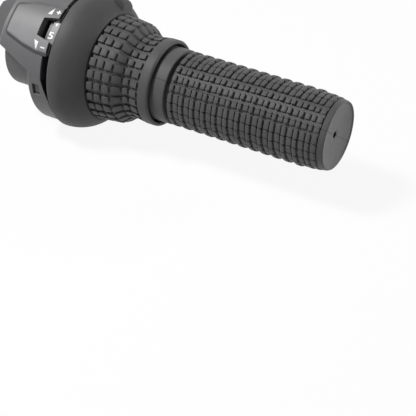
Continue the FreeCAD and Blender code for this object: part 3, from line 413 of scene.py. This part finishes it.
def tone_in(tree, colour, vector, tone, x=None, r=None, side=None):
    """A colour multiplied by a tone in an area: along the bar, around it and across the hood, in millimetres.

    Each limit gives where the tone starts and from where on it is full. The side is measured from the hood's
    middle plane, and grows towards the top.
    """
    inputs = {"Vector": vector, "Direction": on_bar(0, 1 / MM, HOOD_ANGLE + 90)}
    for label, limit in (("X", x), ("Radius", r), ("Side", side)):
        if limit:
            inputs[label + " Start"], inputs[label + " End"] = (place * MM for place in limit)
    mask = place_effect(tree, place_mask, inputs)
    return multiplied(tree, colour, mask.outputs["Mask"], tone)


# Finishes

PATCH_TONES = (0.88, 1.12)  # darkest and palest patches of a surface, as shares of its colour
GLOSS_SPREAD = 0.06  # how far the grain changes a surface's roughness
SEAM_HEIGHT = 3.0  # height of a parting line, in depths of the grain
SEAM_TONE = 0.35
SEAM_ANGLE = 38.0  # where the half grip's parting line runs


def surface(name, colour, roughness, fine=2500.0, depth=0.02, edge=0.3, wear=0.25, metallic=0.0, lighter=1.5,
            stretch=(1, 1, 1), seam=None, sheen=0.5, areas=()):
    """A moulded or turned surface: grain, patches of tone and gloss, rounded edges lightened as wear and as a
    painted highlight, areas that are darker or lighter, most of them painted shade and light, and a parting
    line if asked. Depth and edge are in millimetres."""
    material = bpy.data.materials.get(name)
    if material:
        return material
    material = bpy.data.materials.new(name)
    material.use_nodes = True
    tree = material.node_tree
    place = add(tree, "TexCoord", {}).outputs["Object"]
    stretched = add(tree, "Mapping", {"Vector": place, "Scale": stretch})
    grain = place_effect(tree, mould_grain, {"Vector": stretched.outputs["Vector"], "Fine Scale": fine})
    edges = place_effect(tree, worn_edges, {"Vector": place, "Radius": edge * MM})

    dark, pale, worn_and_lit = ([*(min(1.0, c * share) for c in colour), 1.0] for share in (*PATCH_TONES, lighter))
    patchy = mixed(tree, grain.outputs["Patches"], dark, pale)
    amount = add(tree, "Math", {0: edges.outputs["Wear"], 1: wear}, operation="MULTIPLY")
    shown = mixed(tree, amount.outputs["Value"], patchy, worn_and_lit)
    for area in areas:
        shown = tone_in(tree, shown, place, **area)
    gloss = add(tree, "MapRange", {"Value": grain.outputs["Fine"], "To Min": roughness - GLOSS_SPREAD,
                                   "To Max": roughness + GLOSS_SPREAD})

    height = grain.outputs["Height"]
    if seam is not None:
        across = on_bar(0, 1 / MM, seam + 90)
        line = place_effect(tree, parting_line, {"Vector": place, "Across": across}).outputs["Line"]
        raised = add(tree, "Math", {0: line, 1: SEAM_HEIGHT, 2: height}, operation="MULTIPLY_ADD")
        height = raised.outputs["Value"]
        shown = multiplied(tree, shown, line, SEAM_TONE)
    bump = add(tree, "Bump", {"Strength": 1.0, "Distance": depth * MM, "Height": height,
                              "Normal": edges.outputs["Normal"]})
    feed(tree, tree.nodes["Principled BSDF"], {
        "Base Color": shown,
        "Metallic": metallic,
        "Roughness": gloss.outputs["Result"],
        "Specular IOR Level": sheen,
        "Normal": bump.outputs["Normal"],
    })
    return material


# Rubber edges are lightened strongly: a painted highlight along the blocks' edges, on top of wear.
RUBBER = dict(roughness=0.55, fine=2600, depth=0.03, edge=0.25, wear=0.8, lighter=1.9, sheen=0.2)

# How the surface of each material slot is made. Its colour is one of the settings.
FINISHES = {
    "housing_plastic": dict(
        # Edges lightened more than the default: a painted highlight along the hood's edges, on top of wear.
        colour="housing", roughness=0.5, fine=3000, depth=0.012, edge=0.35, wear=0.5,
        areas=[
            # painted shade on the rim beside the bell's lip
            dict(tone=0.4, x=(31.0, 31.3)),
            # painted shade on the hood's inboard end, and a painted highlight along its edge
            dict(tone=0.5, x=(4.5, 4.2), r=(23.0, 24.0)),
            dict(tone=1.5, x=(4.1, 4.4), r=(30.4, 30.8)),
            dict(tone=0.67, x=(4.8, 5.1), r=(30.4, 30.8)),
        ],
    ),
    "cover_plastic": dict(
        colour="panel", roughness=0.48, fine=3400, depth=0.01, edge=0.2,
        areas=[
            # what lies below the panel's face, but for its upper slope
            dict(tone=0.2, r=(32.15, 31.95), side=(9.0, 7.0)),
            # a painted shadow line along the face's upper edge
            dict(tone=0.6, side=(9.8, 10.0)),
            dict(tone=1.67, side=(10.4, 10.6)),
            # painted light on the window's walls, which lie in shade
            dict(tone=3.6, x=(22.6, 22.9), r=(32.1, 31.9), side=(9.0, 8.0)),
            dict(tone=0.28, x=(22.6, 22.9), r=(32.1, 31.9), side=(-8.0, -9.0)),
            # painted shade on the edge beside the bell's lip
            dict(tone=0.3, x=(30.3, 30.4)),
            # painted shade over the whole panel, darker towards the top
            dict(tone=0.42, side=(-6.0, 6.5)),
        ],
    ),
    "liner_plastic": dict(colour="inner", roughness=0.45, edge=0.2),
    "core_plastic": dict(colour="inner", roughness=0.5, edge=0.2),
    "number_plastic": dict(colour="band", roughness=0.45, fine=3400, depth=0.01, edge=0.15),
    "adjuster_plastic": dict(colour="inner", roughness=0.42, edge=0.3),
    "grip_rubber": dict(
        RUBBER, colour="grip_rubber",
        areas=[
            # the smooth bell darker, with a painted sheen towards its lip
            dict(tone=0.7, x=(47.9, 47.7), r=(24.2, 24.4)),
            dict(tone=1.4, x=(38.5, 34.5)),
            # painted shade in the groove between the bell and the blocks
            dict(tone=0.25, x=(47.55, 47.65)),
            dict(tone=4.0, x=(48.1, 48.2)),
        ],
    ),
    "half_grip_rubber": dict(
        RUBBER, colour="half_rubber", seam=SEAM_ANGLE,
        areas=[
            # painted light on the dished end, and painted shade in its vent
            dict(tone=1.35, x=(157.2, 157.8), r=(14.2, 13.8)),
            dict(tone=0.1, r=(1.75, 1.5)),
        ],
    ),
    "fastener_steel": dict(
        colour="steel", roughness=0.34, fine=1800, depth=0.006, metallic=1.0, stretch=(0.15, 1, 1),
    ),
    "spring_steel": dict(colour="steel", roughness=0.28, fine=1800, depth=0.004, metallic=1.0, edge=0.08),
    "insert_brass": dict(colour="brass", roughness=0.3, fine=1800, depth=0.004, metallic=1.0, edge=0.15),
}


def finish_of(slot):
    """The finish of one of the record's material slots."""
    recipe = dict(FINISHES[slot])
    colour = getattr(bpy.context.scene.shifter_colours, recipe.pop("colour"))
    return surface(slot + "_finish", colour, **recipe)


def white_ink():
    """Matt printing ink with a slightly uneven film."""
    colour = bpy.context.scene.shifter_colours.print_white
    return surface("print_white", colour, roughness=0.55, fine=5000, depth=0.004, edge=0.03, wear=0.0)


# Settings

class ShifterColours(bpy.types.PropertyGroup):
    """Colours of the shifter's finishes, as linear values."""

    half_rubber: FloatVectorProperty(
        name="Half grip rubber", description="Stationary half grip",
        subtype="COLOR", size=3, min=0, max=1, default=(0.080, 0.080, 0.079),
    )
    grip_rubber: FloatVectorProperty(
        name="Twist grip rubber", description="Cover of the twist grip, and the plug",
        subtype="COLOR", size=3, min=0, max=1, default=(0.073, 0.073, 0.072),
    )
    housing: FloatVectorProperty(
        name="Housing", description="Moulded body with its hood",
        subtype="COLOR", size=3, min=0, max=1, default=(0.095, 0.095, 0.099),
    )
    panel: FloatVectorProperty(
        name="Panel", description="Raised label panel",
        subtype="COLOR", size=3, min=0, max=1, default=(0.188, 0.188, 0.193),
    )
    band: FloatVectorProperty(
        name="Number band", description="Band that carries the gear numbers",
        subtype="COLOR", size=3, min=0, max=1, default=(0.150, 0.150, 0.155),
    )
    inner: FloatVectorProperty(
        name="Inner plastic", description="Liner, core, spool and adjuster",
        subtype="COLOR", size=3, min=0, max=1, default=(0.050, 0.050, 0.052),
    )
    steel: FloatVectorProperty(
        name="Steel", description="Bolt, washer, nut and springs",
        subtype="COLOR", size=3, min=0, max=1, default=(0.42, 0.42, 0.43),
    )
    brass: FloatVectorProperty(
        name="Brass", description="Adjuster's threaded insert",
        subtype="COLOR", size=3, min=0, max=1, default=(0.60, 0.45, 0.20),
    )
    print_white: FloatVectorProperty(
        name="Print", description="Numbers and marks",
        subtype="COLOR", size=3, min=0, max=1, default=(0.80, 0.80, 0.80),
    )


class ShifterSizes(bpy.types.PropertyGroup):
    """Sizes of the pieces that are modelled here."""

    half_floor: FloatProperty(
        name="Half grip floor", description="Radius between the half grip's blocks",
        unit="LENGTH", default=15.5 * MM,
    )
    high_block: FloatProperty(
        name="High block", description="Height of every second block of the half grip",
        unit="LENGTH", default=1.45 * MM,
    )
    low_block: FloatProperty(
        name="Low block", description="Height of the blocks between",
        unit="LENGTH", default=0.85 * MM,
    )
    waist_rows: IntProperty(
        name="Twist grip rows", description="Rows of blocks around the twist grip",
        default=27,
    )
    waist_block: FloatProperty(
        name="Waist block", description="Height of the twist grip's blocks",
        unit="LENGTH", default=1.0 * MM,
    )
    block_corner: FloatProperty(
        name="Block corner", description="Rounding of a block's upright corners",
        unit="LENGTH", default=0.32 * MM,
    )
    block_edge: FloatProperty(
        name="Block edge", description="Rounding around a block's top",
        unit="LENGTH", default=0.16 * MM,
    )
    number_height: FloatProperty(
        name="Number height", description="Height of the printed gear numbers",
        unit="LENGTH", default=3.3 * MM,
    )


# Half grip

HALF_BORE_R = 10.95
COLLAR_R = 17.0
COLLAR_END = 83.4
VENT_R = 1.35
END_WALL = 5.0
HALF_BLOCKS = (85.5, 157.5)  # where the blocks start and end
HALF_PAIRS = 13  # pairs of a high and a low block in a row
HIGH_BLOCK_SHARE = 0.335  # of a pair's length
HALF_GAP_SHARE = 0.12
LAST_PAIR_SHARE = 0.62  # of the other pairs' height

# Rows in one half of the mould: the first one's angle, how many, their width and their step, in degrees
HALF_ROWS = [(35.0, 3, 9.9, 15.0), (81.7, 9, 13.4, 14.57)]

# The rows' lean around the bar, where the rubber was twisted as it was pushed on
LEAN_START = 88.0
LEAN_LENGTH = 42.0
LEAN_AT_COLLAR = -3.7
LEAN_CHANGE = 4.6


def rubber_lean(x):
    """How far the half grip's rows lean around the bar at a place along it, in degrees."""
    share = min(1.0, max(0.0, (x - LEAN_START) / LEAN_LENGTH))
    return LEAN_AT_COLLAR + LEAN_CHANGE * share * share * (3 - 2 * share)


class SHIFTER_OT_half_grip_cover(bpy.types.Operator):
    """Stationary half grip: collar, rows of high and low blocks, end band and dished end with its vent"""

    bl_idname = "shifter.half_grip_cover"
    bl_label = "Half grip cover"

    def execute(self, context):
        sizes = context.scene.shifter_sizes
        pieces = [self.core(sizes)]
        blocks = self.blocks(sizes)
        for half in (0, 180):
            for angle, count, width, step in HALF_ROWS:
                row = block_row("half_grip_row", blocks, angle + half, width, sizes)
                repeat_around(row, count, step)
                pieces.append(row)
        piece = join(pieces, "half_grip_cover")
        place_piece(piece, "shifter_body", "half_grip_rubber", finish_of("half_grip_rubber"), "half_grip")
        return {"FINISHED"}

    def core(self, sizes):
        """The grip without its blocks, from the collar over the end and back inside."""
        low, high = (corner.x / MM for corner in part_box("half_grip"))
        first, last = HALF_BLOCKS
        floor = sizes.half_floor / MM
        neck, groove = floor - 1.0, floor - 0.6
        inner_end = high - END_WALL
        outline = [(low, HALF_BORE_R), (low, COLLAR_R), (COLLAR_END, COLLAR_R), (COLLAR_END, neck)]
        outline += [(first - 0.3, neck), (first, floor), (last - 0.5, floor)]
        outline += [(last - 0.45, groove), (last - 0.05, groove), (last, floor + 0.2)]
        outline += [(high - 0.8, floor - 0.1), (high, floor - 0.5), (high - 0.6, floor - 1.1)]
        outline += arc_through((high - 0.75, floor - 1.6), (high - 1.55, 8.0), (high - 1.9, VENT_R + 0.4), 6)
        outline += [(high - 2.1, VENT_R), (inner_end, VENT_R), (inner_end, HALF_BORE_R)]
        rounds = {(low, COLLAR_R): 0.8, (COLLAR_END, COLLAR_R): 0.6, (high - 0.8, floor - 0.1): 0.3,
                  (high, floor - 0.5): 0.25}
        return turned("half_grip_core", outline, rounds, 120)

    def blocks(self, sizes):
        """The blocks of one row, with their feet sunk into the floor."""
        first, last = HALF_BLOCKS
        floor = sizes.half_floor / MM
        foot = floor - 0.4
        pitch = (last - first) / HALF_PAIRS
        gap = pitch * HALF_GAP_SHARE
        blocks = []
        for pair in range(HALF_PAIRS):
            share = 1.0 if pair < HALF_PAIRS - 1 else LAST_PAIR_SHARE
            start, end = first + pair * pitch, first + (pair + 1) * pitch
            middle = start + pitch * HIGH_BLOCK_SHARE
            high_and_low = [(start, middle, sizes.high_block), (middle + gap, end - gap, sizes.low_block)]
            for x0, x1, height in high_and_low:
                top = floor + height * share / MM
                blocks.append((x0, x1, foot, top, top, rubber_lean(x0)))
        return blocks


# Twist grip

LIP_INNER_R = 29.6
BELL_CROWN = (33.2, 32.2)
BELL_MIDDLE = (41.6, 29.95)
BELL_END = (47.6, 24.95)
BELL_GROOVE_R = 22.8
WAIST = [(48.1, 24.4), (59.3, 23.2), (63.6, 19.7), (67.0, 19.0), (70.9, 19.6)]  # over the blocks' tops
WAIST_COLUMNS = [(48.15, 51.0), (51.7, 54.7), (55.6, 58.9), (59.9, 63.2), (63.9, 66.4), (67.3, 70.8)]
WAIST_ROW_ANGLE = 47.4
WAIST_ROW_SHARE = 0.625  # of the step from row to row
WAIST_EXTRA_DEPTH = 0.25  # of the grooves, below the blocks' own height
RING_START = 71.9
RING_R = 19.8
RING_INNER_R = 18.0

# The inside, which lies against the core: below the ring and the waist, and the arc below the bell
WAIST_INSIDE = [(72.5, RING_INNER_R), (72.5, 15.6), (66.0, 15.6), (63.6, 16.8), (59.3, 20.3)]
BELL_INSIDE = [(46.04, 22.55), (40.76, 27.69), (32.6, 29.8)]

LUG_START = 111.0
LUG_SWEEP = 16.5
LUG_ROUND = 1.1
LUG_OUTLINE = [(38.3, 30.5), (38.6, 31.0), (41.5, 31.5), (45.0, 30.5), (46.8, 28.4), (47.2, 25.2),
               (44.0, 27.3), (41.0, 29.3)]


def waist_radius(x):
    """The block tops' radius at a place along the waist."""
    for (x0, r0), (x1, r1) in zip(WAIST, WAIST[1:]):
        if x <= x1:
            return r0 + (r1 - r0) * (x - x0) / (x1 - x0)
    return WAIST[-1][1]


class SHIFTER_OT_twist_grip_cover(bpy.types.Operator):
    """Twist grip's rubber: smooth bell, waist with six columns of blocks, and the end ring"""

    bl_idname = "shifter.twist_grip_cover"
    bl_label = "Twist grip cover"

    def execute(self, context):
        sizes = context.scene.shifter_sizes
        rise = sizes.waist_block / MM + WAIST_EXTRA_DEPTH
        core = self.core(rise)
        step = 360 / sizes.waist_rows
        row = block_row("grip_cover_row", self.blocks(rise), WAIST_ROW_ANGLE, step * WAIST_ROW_SHARE, sizes)
        repeat_around(row, sizes.waist_rows, step)
        piece = join([core, row, self.finger_lug()], "grip_cover")
        place_piece(piece, "twist_grip", "grip_rubber", finish_of("grip_rubber"), "grip_rubber")
        return {"FINISHED"}

    def core(self, rise):
        """The cover without its blocks: over the bell and the waist to the ring, and back inside."""
        lip, end = (corner.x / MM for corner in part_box("grip_rubber"))
        floors = [(x, r - rise) for x, r in WAIST[:-1]]
        outline = [(lip, LIP_INNER_R), (lip, 31.0)]
        outline += arc_through((lip + 0.12, 31.55), (lip + 0.45, 31.95), BELL_CROWN, 4)
        outline += arc_through(BELL_CROWN, BELL_MIDDLE, BELL_END, 18)[1:]
        outline += [(BELL_END[0], BELL_GROOVE_R), (BELL_END[0] + 0.4, BELL_GROOVE_R), *floors]
        outline += [(RING_START, RING_R - 1.0), (RING_START, RING_R), (end, RING_R), (end, RING_INNER_R)]
        outline += [*WAIST_INSIDE, *arc_through(*BELL_INSIDE, 12), (BELL_INSIDE[-1][0], LIP_INNER_R)]
        rounds = {floors[1]: 0.9, floors[2]: 0.9, BELL_END: 0.25, (RING_START, RING_R): 0.35,
                  (end, RING_R): 1.05, (end, RING_INNER_R): 0.65}
        return turned("grip_cover_core", outline, rounds, 144)

    def blocks(self, rise):
        """The blocks of one row, with their feet sunk into the floor."""
        sunk = 0.5
        blocks = []
        for x0, x1 in WAIST_COLUMNS:
            top0, top1 = waist_radius(x0), waist_radius(x1)
            blocks.append((x0, x1, min(top0, top1) - rise - sunk, top0, top1, 0.0))
        return blocks

    def finger_lug(self):
        """The raised lug behind the bell's crown: its outline spun over a short arc, with rounded sides."""
        lug = new_piece("finger_lug")
        draw([on_bar(x, r, LUG_START) for x, r in LUG_OUTLINE], True)
        spin_all(LUG_SWEEP, 8)
        sharp, above_bell = math.radians(25), 28.5
        choose(lug, "EDGE", lambda e: e.calc_face_angle(0) > sharp
               and min(radius_of(v.co) for v in e.verts) > above_bell)
        bpy.ops.mesh.bevel(offset=LUG_ROUND * MM, segments=3, affect="EDGES")
        deselect_all()
        return lug


# Cable port plug

PLUG_STEM_R = 2.15
PLUG_HEAD_R = 2.65
PLUG_HEAD_HEIGHT = 0.95


class SHIFTER_OT_port_plug(bpy.types.Operator):
    """Rubber plug of the cable port, with a domed head and a dimple for a fingernail"""

    bl_idname = "shifter.port_plug"
    bl_label = "Cable port plug"

    def execute(self, context):
        low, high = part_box("cable_port_plug")
        middle = (low + high) / 2
        top, foot = low.z / MM, high.z / MM  # it is pushed in from below, so its head is its lower end
        neck = top + PLUG_HEAD_HEIGHT
        profile = [(0.0, foot), (PLUG_STEM_R, foot), (PLUG_STEM_R, neck), (PLUG_HEAD_R, neck)]
        profile += [(PLUG_HEAD_R, top + 0.35), (PLUG_HEAD_R - 0.4, top)]
        profile += [(0.9, top), (0.5, top + 0.25), (0.0, top + 0.3)]
        piece = new_piece("port_plug_cover")
        draw([Vector((middle.x + r * MM, 0, z * MM)) for r, z in profile])
        spin_all(360, 40, center=(middle.x, 0, 0), axis=(0, 0, 1))
        deselect_all()
        place_piece(piece, "shifter_body", "grip_rubber", finish_of("grip_rubber"), "cable_port_plug")
        return {"FINISHED"}


# Prints

PANEL_R = 32.4
BAND_R = 29.4
INK_FILM = 0.04

# Corners of the arrows and middles of the signs, as places along the bar and angles around it
ARROWS = [[(23.9, 60.6), (26.0, 60.9), (25.9, 66.9)], [(24.9, 29.8), (25.3, 36.9), (23.0, 37.9)]]
PLUS_PLACE = (28.7, 64.2)
MINUS_PLACE = (28.1, 33.3)

# From a sign's middle to the ends of its strokes, along the bar and in degrees around it, and half a stroke
SIGN_ALONG = 1.1
SIGN_AROUND = 1.9
HALF_STROKE = 0.29

GEARS = 6
GEAR_STEP = 12.5
SHOWN_GEAR = 5
WINDOW_PLACE = (28.35, 44.8)
CAPITAL_SHARE = 0.72  # a number's height, as a share of the font's size
NUMBER_STRETCH = 1.34
NUMBER_BOLDNESS = 0.1  # how far a number's strokes are thickened


def lay_print(piece, node):
    """Lays a flat print on a part's surface as a thin film of ink."""
    pick(piece)
    bpy.ops.object.mode_set(mode="EDIT")
    bpy.ops.mesh.select_all(action="SELECT")
    bpy.ops.mesh.quads_convert_to_tris()
    bpy.ops.mesh.subdivide(number_cuts=3)
    deselect_all()
    apply_modifier(piece, "SHRINKWRAP", target=frame["nodes"][node], wrap_method="NEAREST_SURFACEPOINT",
                   wrap_mode="ABOVE_SURFACE", offset=INK_FILM * MM)
    apply_modifier(piece, "SOLIDIFY", thickness=INK_FILM * MM, offset=-1.0)


class SHIFTER_OT_panel_marks(bpy.types.Operator):
    """Printed arrows with plus and minus beside the window"""

    bl_idname = "shifter.panel_marks"
    bl_label = "Panel marks"

    def execute(self, context):
        thin, turn = HALF_STROKE, math.degrees(HALF_STROKE / PANEL_R)
        start, end = (-SIGN_ALONG, -turn), (SIGN_ALONG, -turn)
        upright = [(-thin, -turn), (-thin, -SIGN_AROUND), (thin, -SIGN_AROUND), (thin, -turn)]
        outlines = list(ARROWS)
        for (x, angle), half in ((PLUS_PLACE, [start, *upright, end]), (MINUS_PLACE, [start, end])):
            corners = half + [(-along, -around) for along, around in half]
            outlines.append([(x + along, angle + around) for along, around in corners])
        piece = new_piece("panel_marks")
        for outline in outlines:
            draw([on_bar(x, PANEL_R, angle) for x, angle in outline], True)
        deselect_all()
        lay_print(piece, "indicator_cover")
        place_piece(piece, "shifter_body", "cover_plastic", white_ink())
        return {"FINISHED"}


class SHIFTER_OT_gear_numbers(bpy.types.Operator):
    """Gear numbers 1 to 6 printed around the band, each in the window in its own gear"""

    bl_idname = "shifter.gear_numbers"
    bl_label = "Gear numbers"

    def execute(self, context):
        height = context.scene.shifter_sizes.number_height
        x, window = WINDOW_PLACE
        digits = []
        for gear in range(1, GEARS + 1):
            angle = window + GEAR_STEP * (SHOWN_GEAR - gear)
            deselect_all()
            bpy.ops.object.text_add(location=on_bar(x, BAND_R + 0.1, angle),
                                    rotation=(math.radians(90 - angle), 0, 0))
            text = bpy.context.object.data
            text.body = str(gear)
            text.size = height / CAPITAL_SHARE
            text.offset = NUMBER_BOLDNESS * MM
            text.align_x = "CENTER"
            text.align_y = "CENTER"
            bpy.ops.object.convert(target="MESH")
            bpy.ops.transform.resize(value=(NUMBER_STRETCH, 1, 1), orient_type="GLOBAL")
            bpy.ops.object.transform_apply(location=True, rotation=True, scale=True)
            digits.append(bpy.context.object)
        piece = join(digits, "gear_numbers")
        lay_print(piece, "number_ring")
        place_piece(piece, "twist_grip", "number_plastic", white_ink())
        return {"FINISHED"}


# Parts that stay as the frame has them

class SHIFTER_OT_finishes(bpy.types.Operator):
    """Gives every part that stays as the frame has it the finish of its material slot"""

    bl_idname = "shifter.finishes"
    bl_label = "Finishes"

    def execute(self, context):
        for subpart in frame["record"]["subparts"]:
            node = frame["nodes"][subpart["node"]]
            finish = finish_of(subpart["material_slot"])
            if not node.material_slots:
                node.data.materials.append(finish)
            for slot in node.material_slots:
                slot.material = finish
        return {"FINISHED"}


# Stage

CAMERA_PLACE = (0.348455, -0.431990, 0.312613)
CAMERA_AZIMUTH = 30.26
CAMERA_ELEVATION = 36.82
CAMERA_LENS = 115.553
CAMERA_SENSOR = 36.0
LAMPS_AIM = (0.08, 0, 0)


def lamp(name, toward, away, size, watts):
    """A square soft lamp that looks at the object from a direction."""
    direction = Vector(toward).normalized()
    deselect_all()
    bpy.ops.object.light_add(type="AREA", location=Vector(LAMPS_AIM) + direction * away,
                             rotation=direction.to_track_quat("Z", "Y").to_euler())
    light = bpy.context.object
    light.name = light.data.name = name
    light.data.size = size
    light.data.energy = watts


def seen_white(tree, light, kind, share=1.0):
    """White to the camera, to reflections and through glass, and a light of its own to all else."""
    rays = add(tree, "LightPath", {})
    amount = rays.outputs["Is Camera Ray"]
    for ray in ("Is Glossy Ray", "Is Transmission Ray"):
        either = add(tree, "Math", {0: amount, 1: rays.outputs[ray]}, operation="MAXIMUM")
        amount = either.outputs["Value"]
    part = add(tree, "Math", {0: amount, 1: share}, operation="MULTIPLY")
    white = add(tree, kind, {"Color": (1, 1, 1, 1), "Strength": 1.0})
    mix = add(tree, "MixShader", {"Fac": part.outputs["Value"], 1: light, 2: white.outputs[kind]})
    return mix.outputs["Shader"]


class SHIFTER_OT_studio(bpy.types.Operator):
    """Pale floor, soft lamps, white surroundings and the camera"""

    bl_idname = "shifter.studio"
    bl_label = "Studio"

    def execute(self, context):
        self.floor()
        self.surroundings(context.scene)
        lamp("key_lamp", toward=(-0.42, -0.33, 0.85), away=0.9, size=0.2, watts=8.8)
        lamp("side_lamp", toward=(0.75, 0.62, 0.2), away=0.9, size=0.3, watts=5.0)
        self.camera(context.scene)
        context.scene.view_settings.view_transform = "Standard"
        return {"FINISHED"}

    def floor(self):
        """A round floor just below the object, white but for the object's shadow."""
        deselect_all()
        bpy.ops.mesh.primitive_circle_add(vertices=64, radius=2.5, fill_type="NGON",
                                          location=(0, 0, CAD_BOX[0].z - 0.05 * MM))
        floor = bpy.context.object
        floor.name = floor.data.name = "floor"
        material = bpy.data.materials.new("floor")
        material.use_nodes = True
        tree = material.node_tree
        shader = tree.nodes["Principled BSDF"]
        feed(tree, shader, {"Base Color": (0.82, 0.82, 0.82, 1), "Roughness": 0.9})
        shown = seen_white(tree, shader.outputs["BSDF"], "Emission", 0.9)
        feed(tree, tree.nodes["Material Output"], {"Surface": shown})
        floor.data.materials.append(material)

    def surroundings(self, scene):
        """A world that is white to look at and lights the object faintly."""
        world = bpy.data.worlds.new("surroundings")
        scene.world = world
        world.use_nodes = True
        tree = world.node_tree
        dim = tree.nodes["Background"]
        feed(tree, dim, {"Color": (0.96, 0.98, 1, 1), "Strength": 0.12})
        shown = seen_white(tree, dim.outputs["Background"], "Background")
        feed(tree, tree.nodes["World Output"], {"Surface": shown})

    def camera(self, scene):
        """The camera at the photograph's viewing angle."""
        azimuth, elevation = math.radians(CAMERA_AZIMUTH), math.radians(CAMERA_ELEVATION)
        level = math.cos(elevation)
        back = Vector((math.sin(azimuth) * level, -math.cos(azimuth) * level, math.sin(elevation)))
        deselect_all()
        bpy.ops.object.camera_add(location=CAMERA_PLACE, rotation=back.to_track_quat("Z", "Y").to_euler())
        camera = bpy.context.object
        camera.name = camera.data.name = "camera"
        camera.data.lens = CAMERA_LENS
        camera.data.sensor_width = CAMERA_SENSOR
        camera.data.clip_start = 0.01
        scene.camera = camera


class SHIFTER_PT_panel(bpy.types.Panel):
    """Settings and steps in the sidebar"""

    bl_idname = "SHIFTER_PT_panel"
    bl_label = "Twist grip shifter"
    bl_space_type = "VIEW_3D"
    bl_region_type = "UI"
    bl_category = "Shifter"

    def draw(self, context):
        for group in (context.scene.shifter_sizes, context.scene.shifter_colours):
            column = self.layout.column()
            for name in group.__annotations__:
                column.prop(group, name)
        for step in STEPS:
            self.layout.operator(step.bl_idname)


STEPS = (SHIFTER_OT_finishes, SHIFTER_OT_half_grip_cover, SHIFTER_OT_twist_grip_cover, SHIFTER_OT_port_plug,
         SHIFTER_OT_panel_marks, SHIFTER_OT_gear_numbers, SHIFTER_OT_studio)
CLASSES = (ShifterColours, ShifterSizes, *STEPS, SHIFTER_PT_panel)


def register():
    for item in CLASSES:
        bpy.utils.register_class(item)
    bpy.types.Scene.shifter_colours = PointerProperty(type=ShifterColours)
    bpy.types.Scene.shifter_sizes = PointerProperty(type=ShifterSizes)


def unregister():
    del bpy.types.Scene.shifter_sizes
    del bpy.types.Scene.shifter_colours
    for item in reversed(CLASSES):
        bpy.utils.unregister_class(item)


def main():
    register()
    bpy.ops.shifter.finishes()
    bpy.ops.shifter.half_grip_cover()
    bpy.ops.shifter.twist_grip_cover()
    bpy.ops.shifter.port_plug()
    bpy.ops.shifter.panel_marks()
    bpy.ops.shifter.gear_numbers()
    bpy.ops.shifter.studio()


if __name__ == "__main__":
    main()
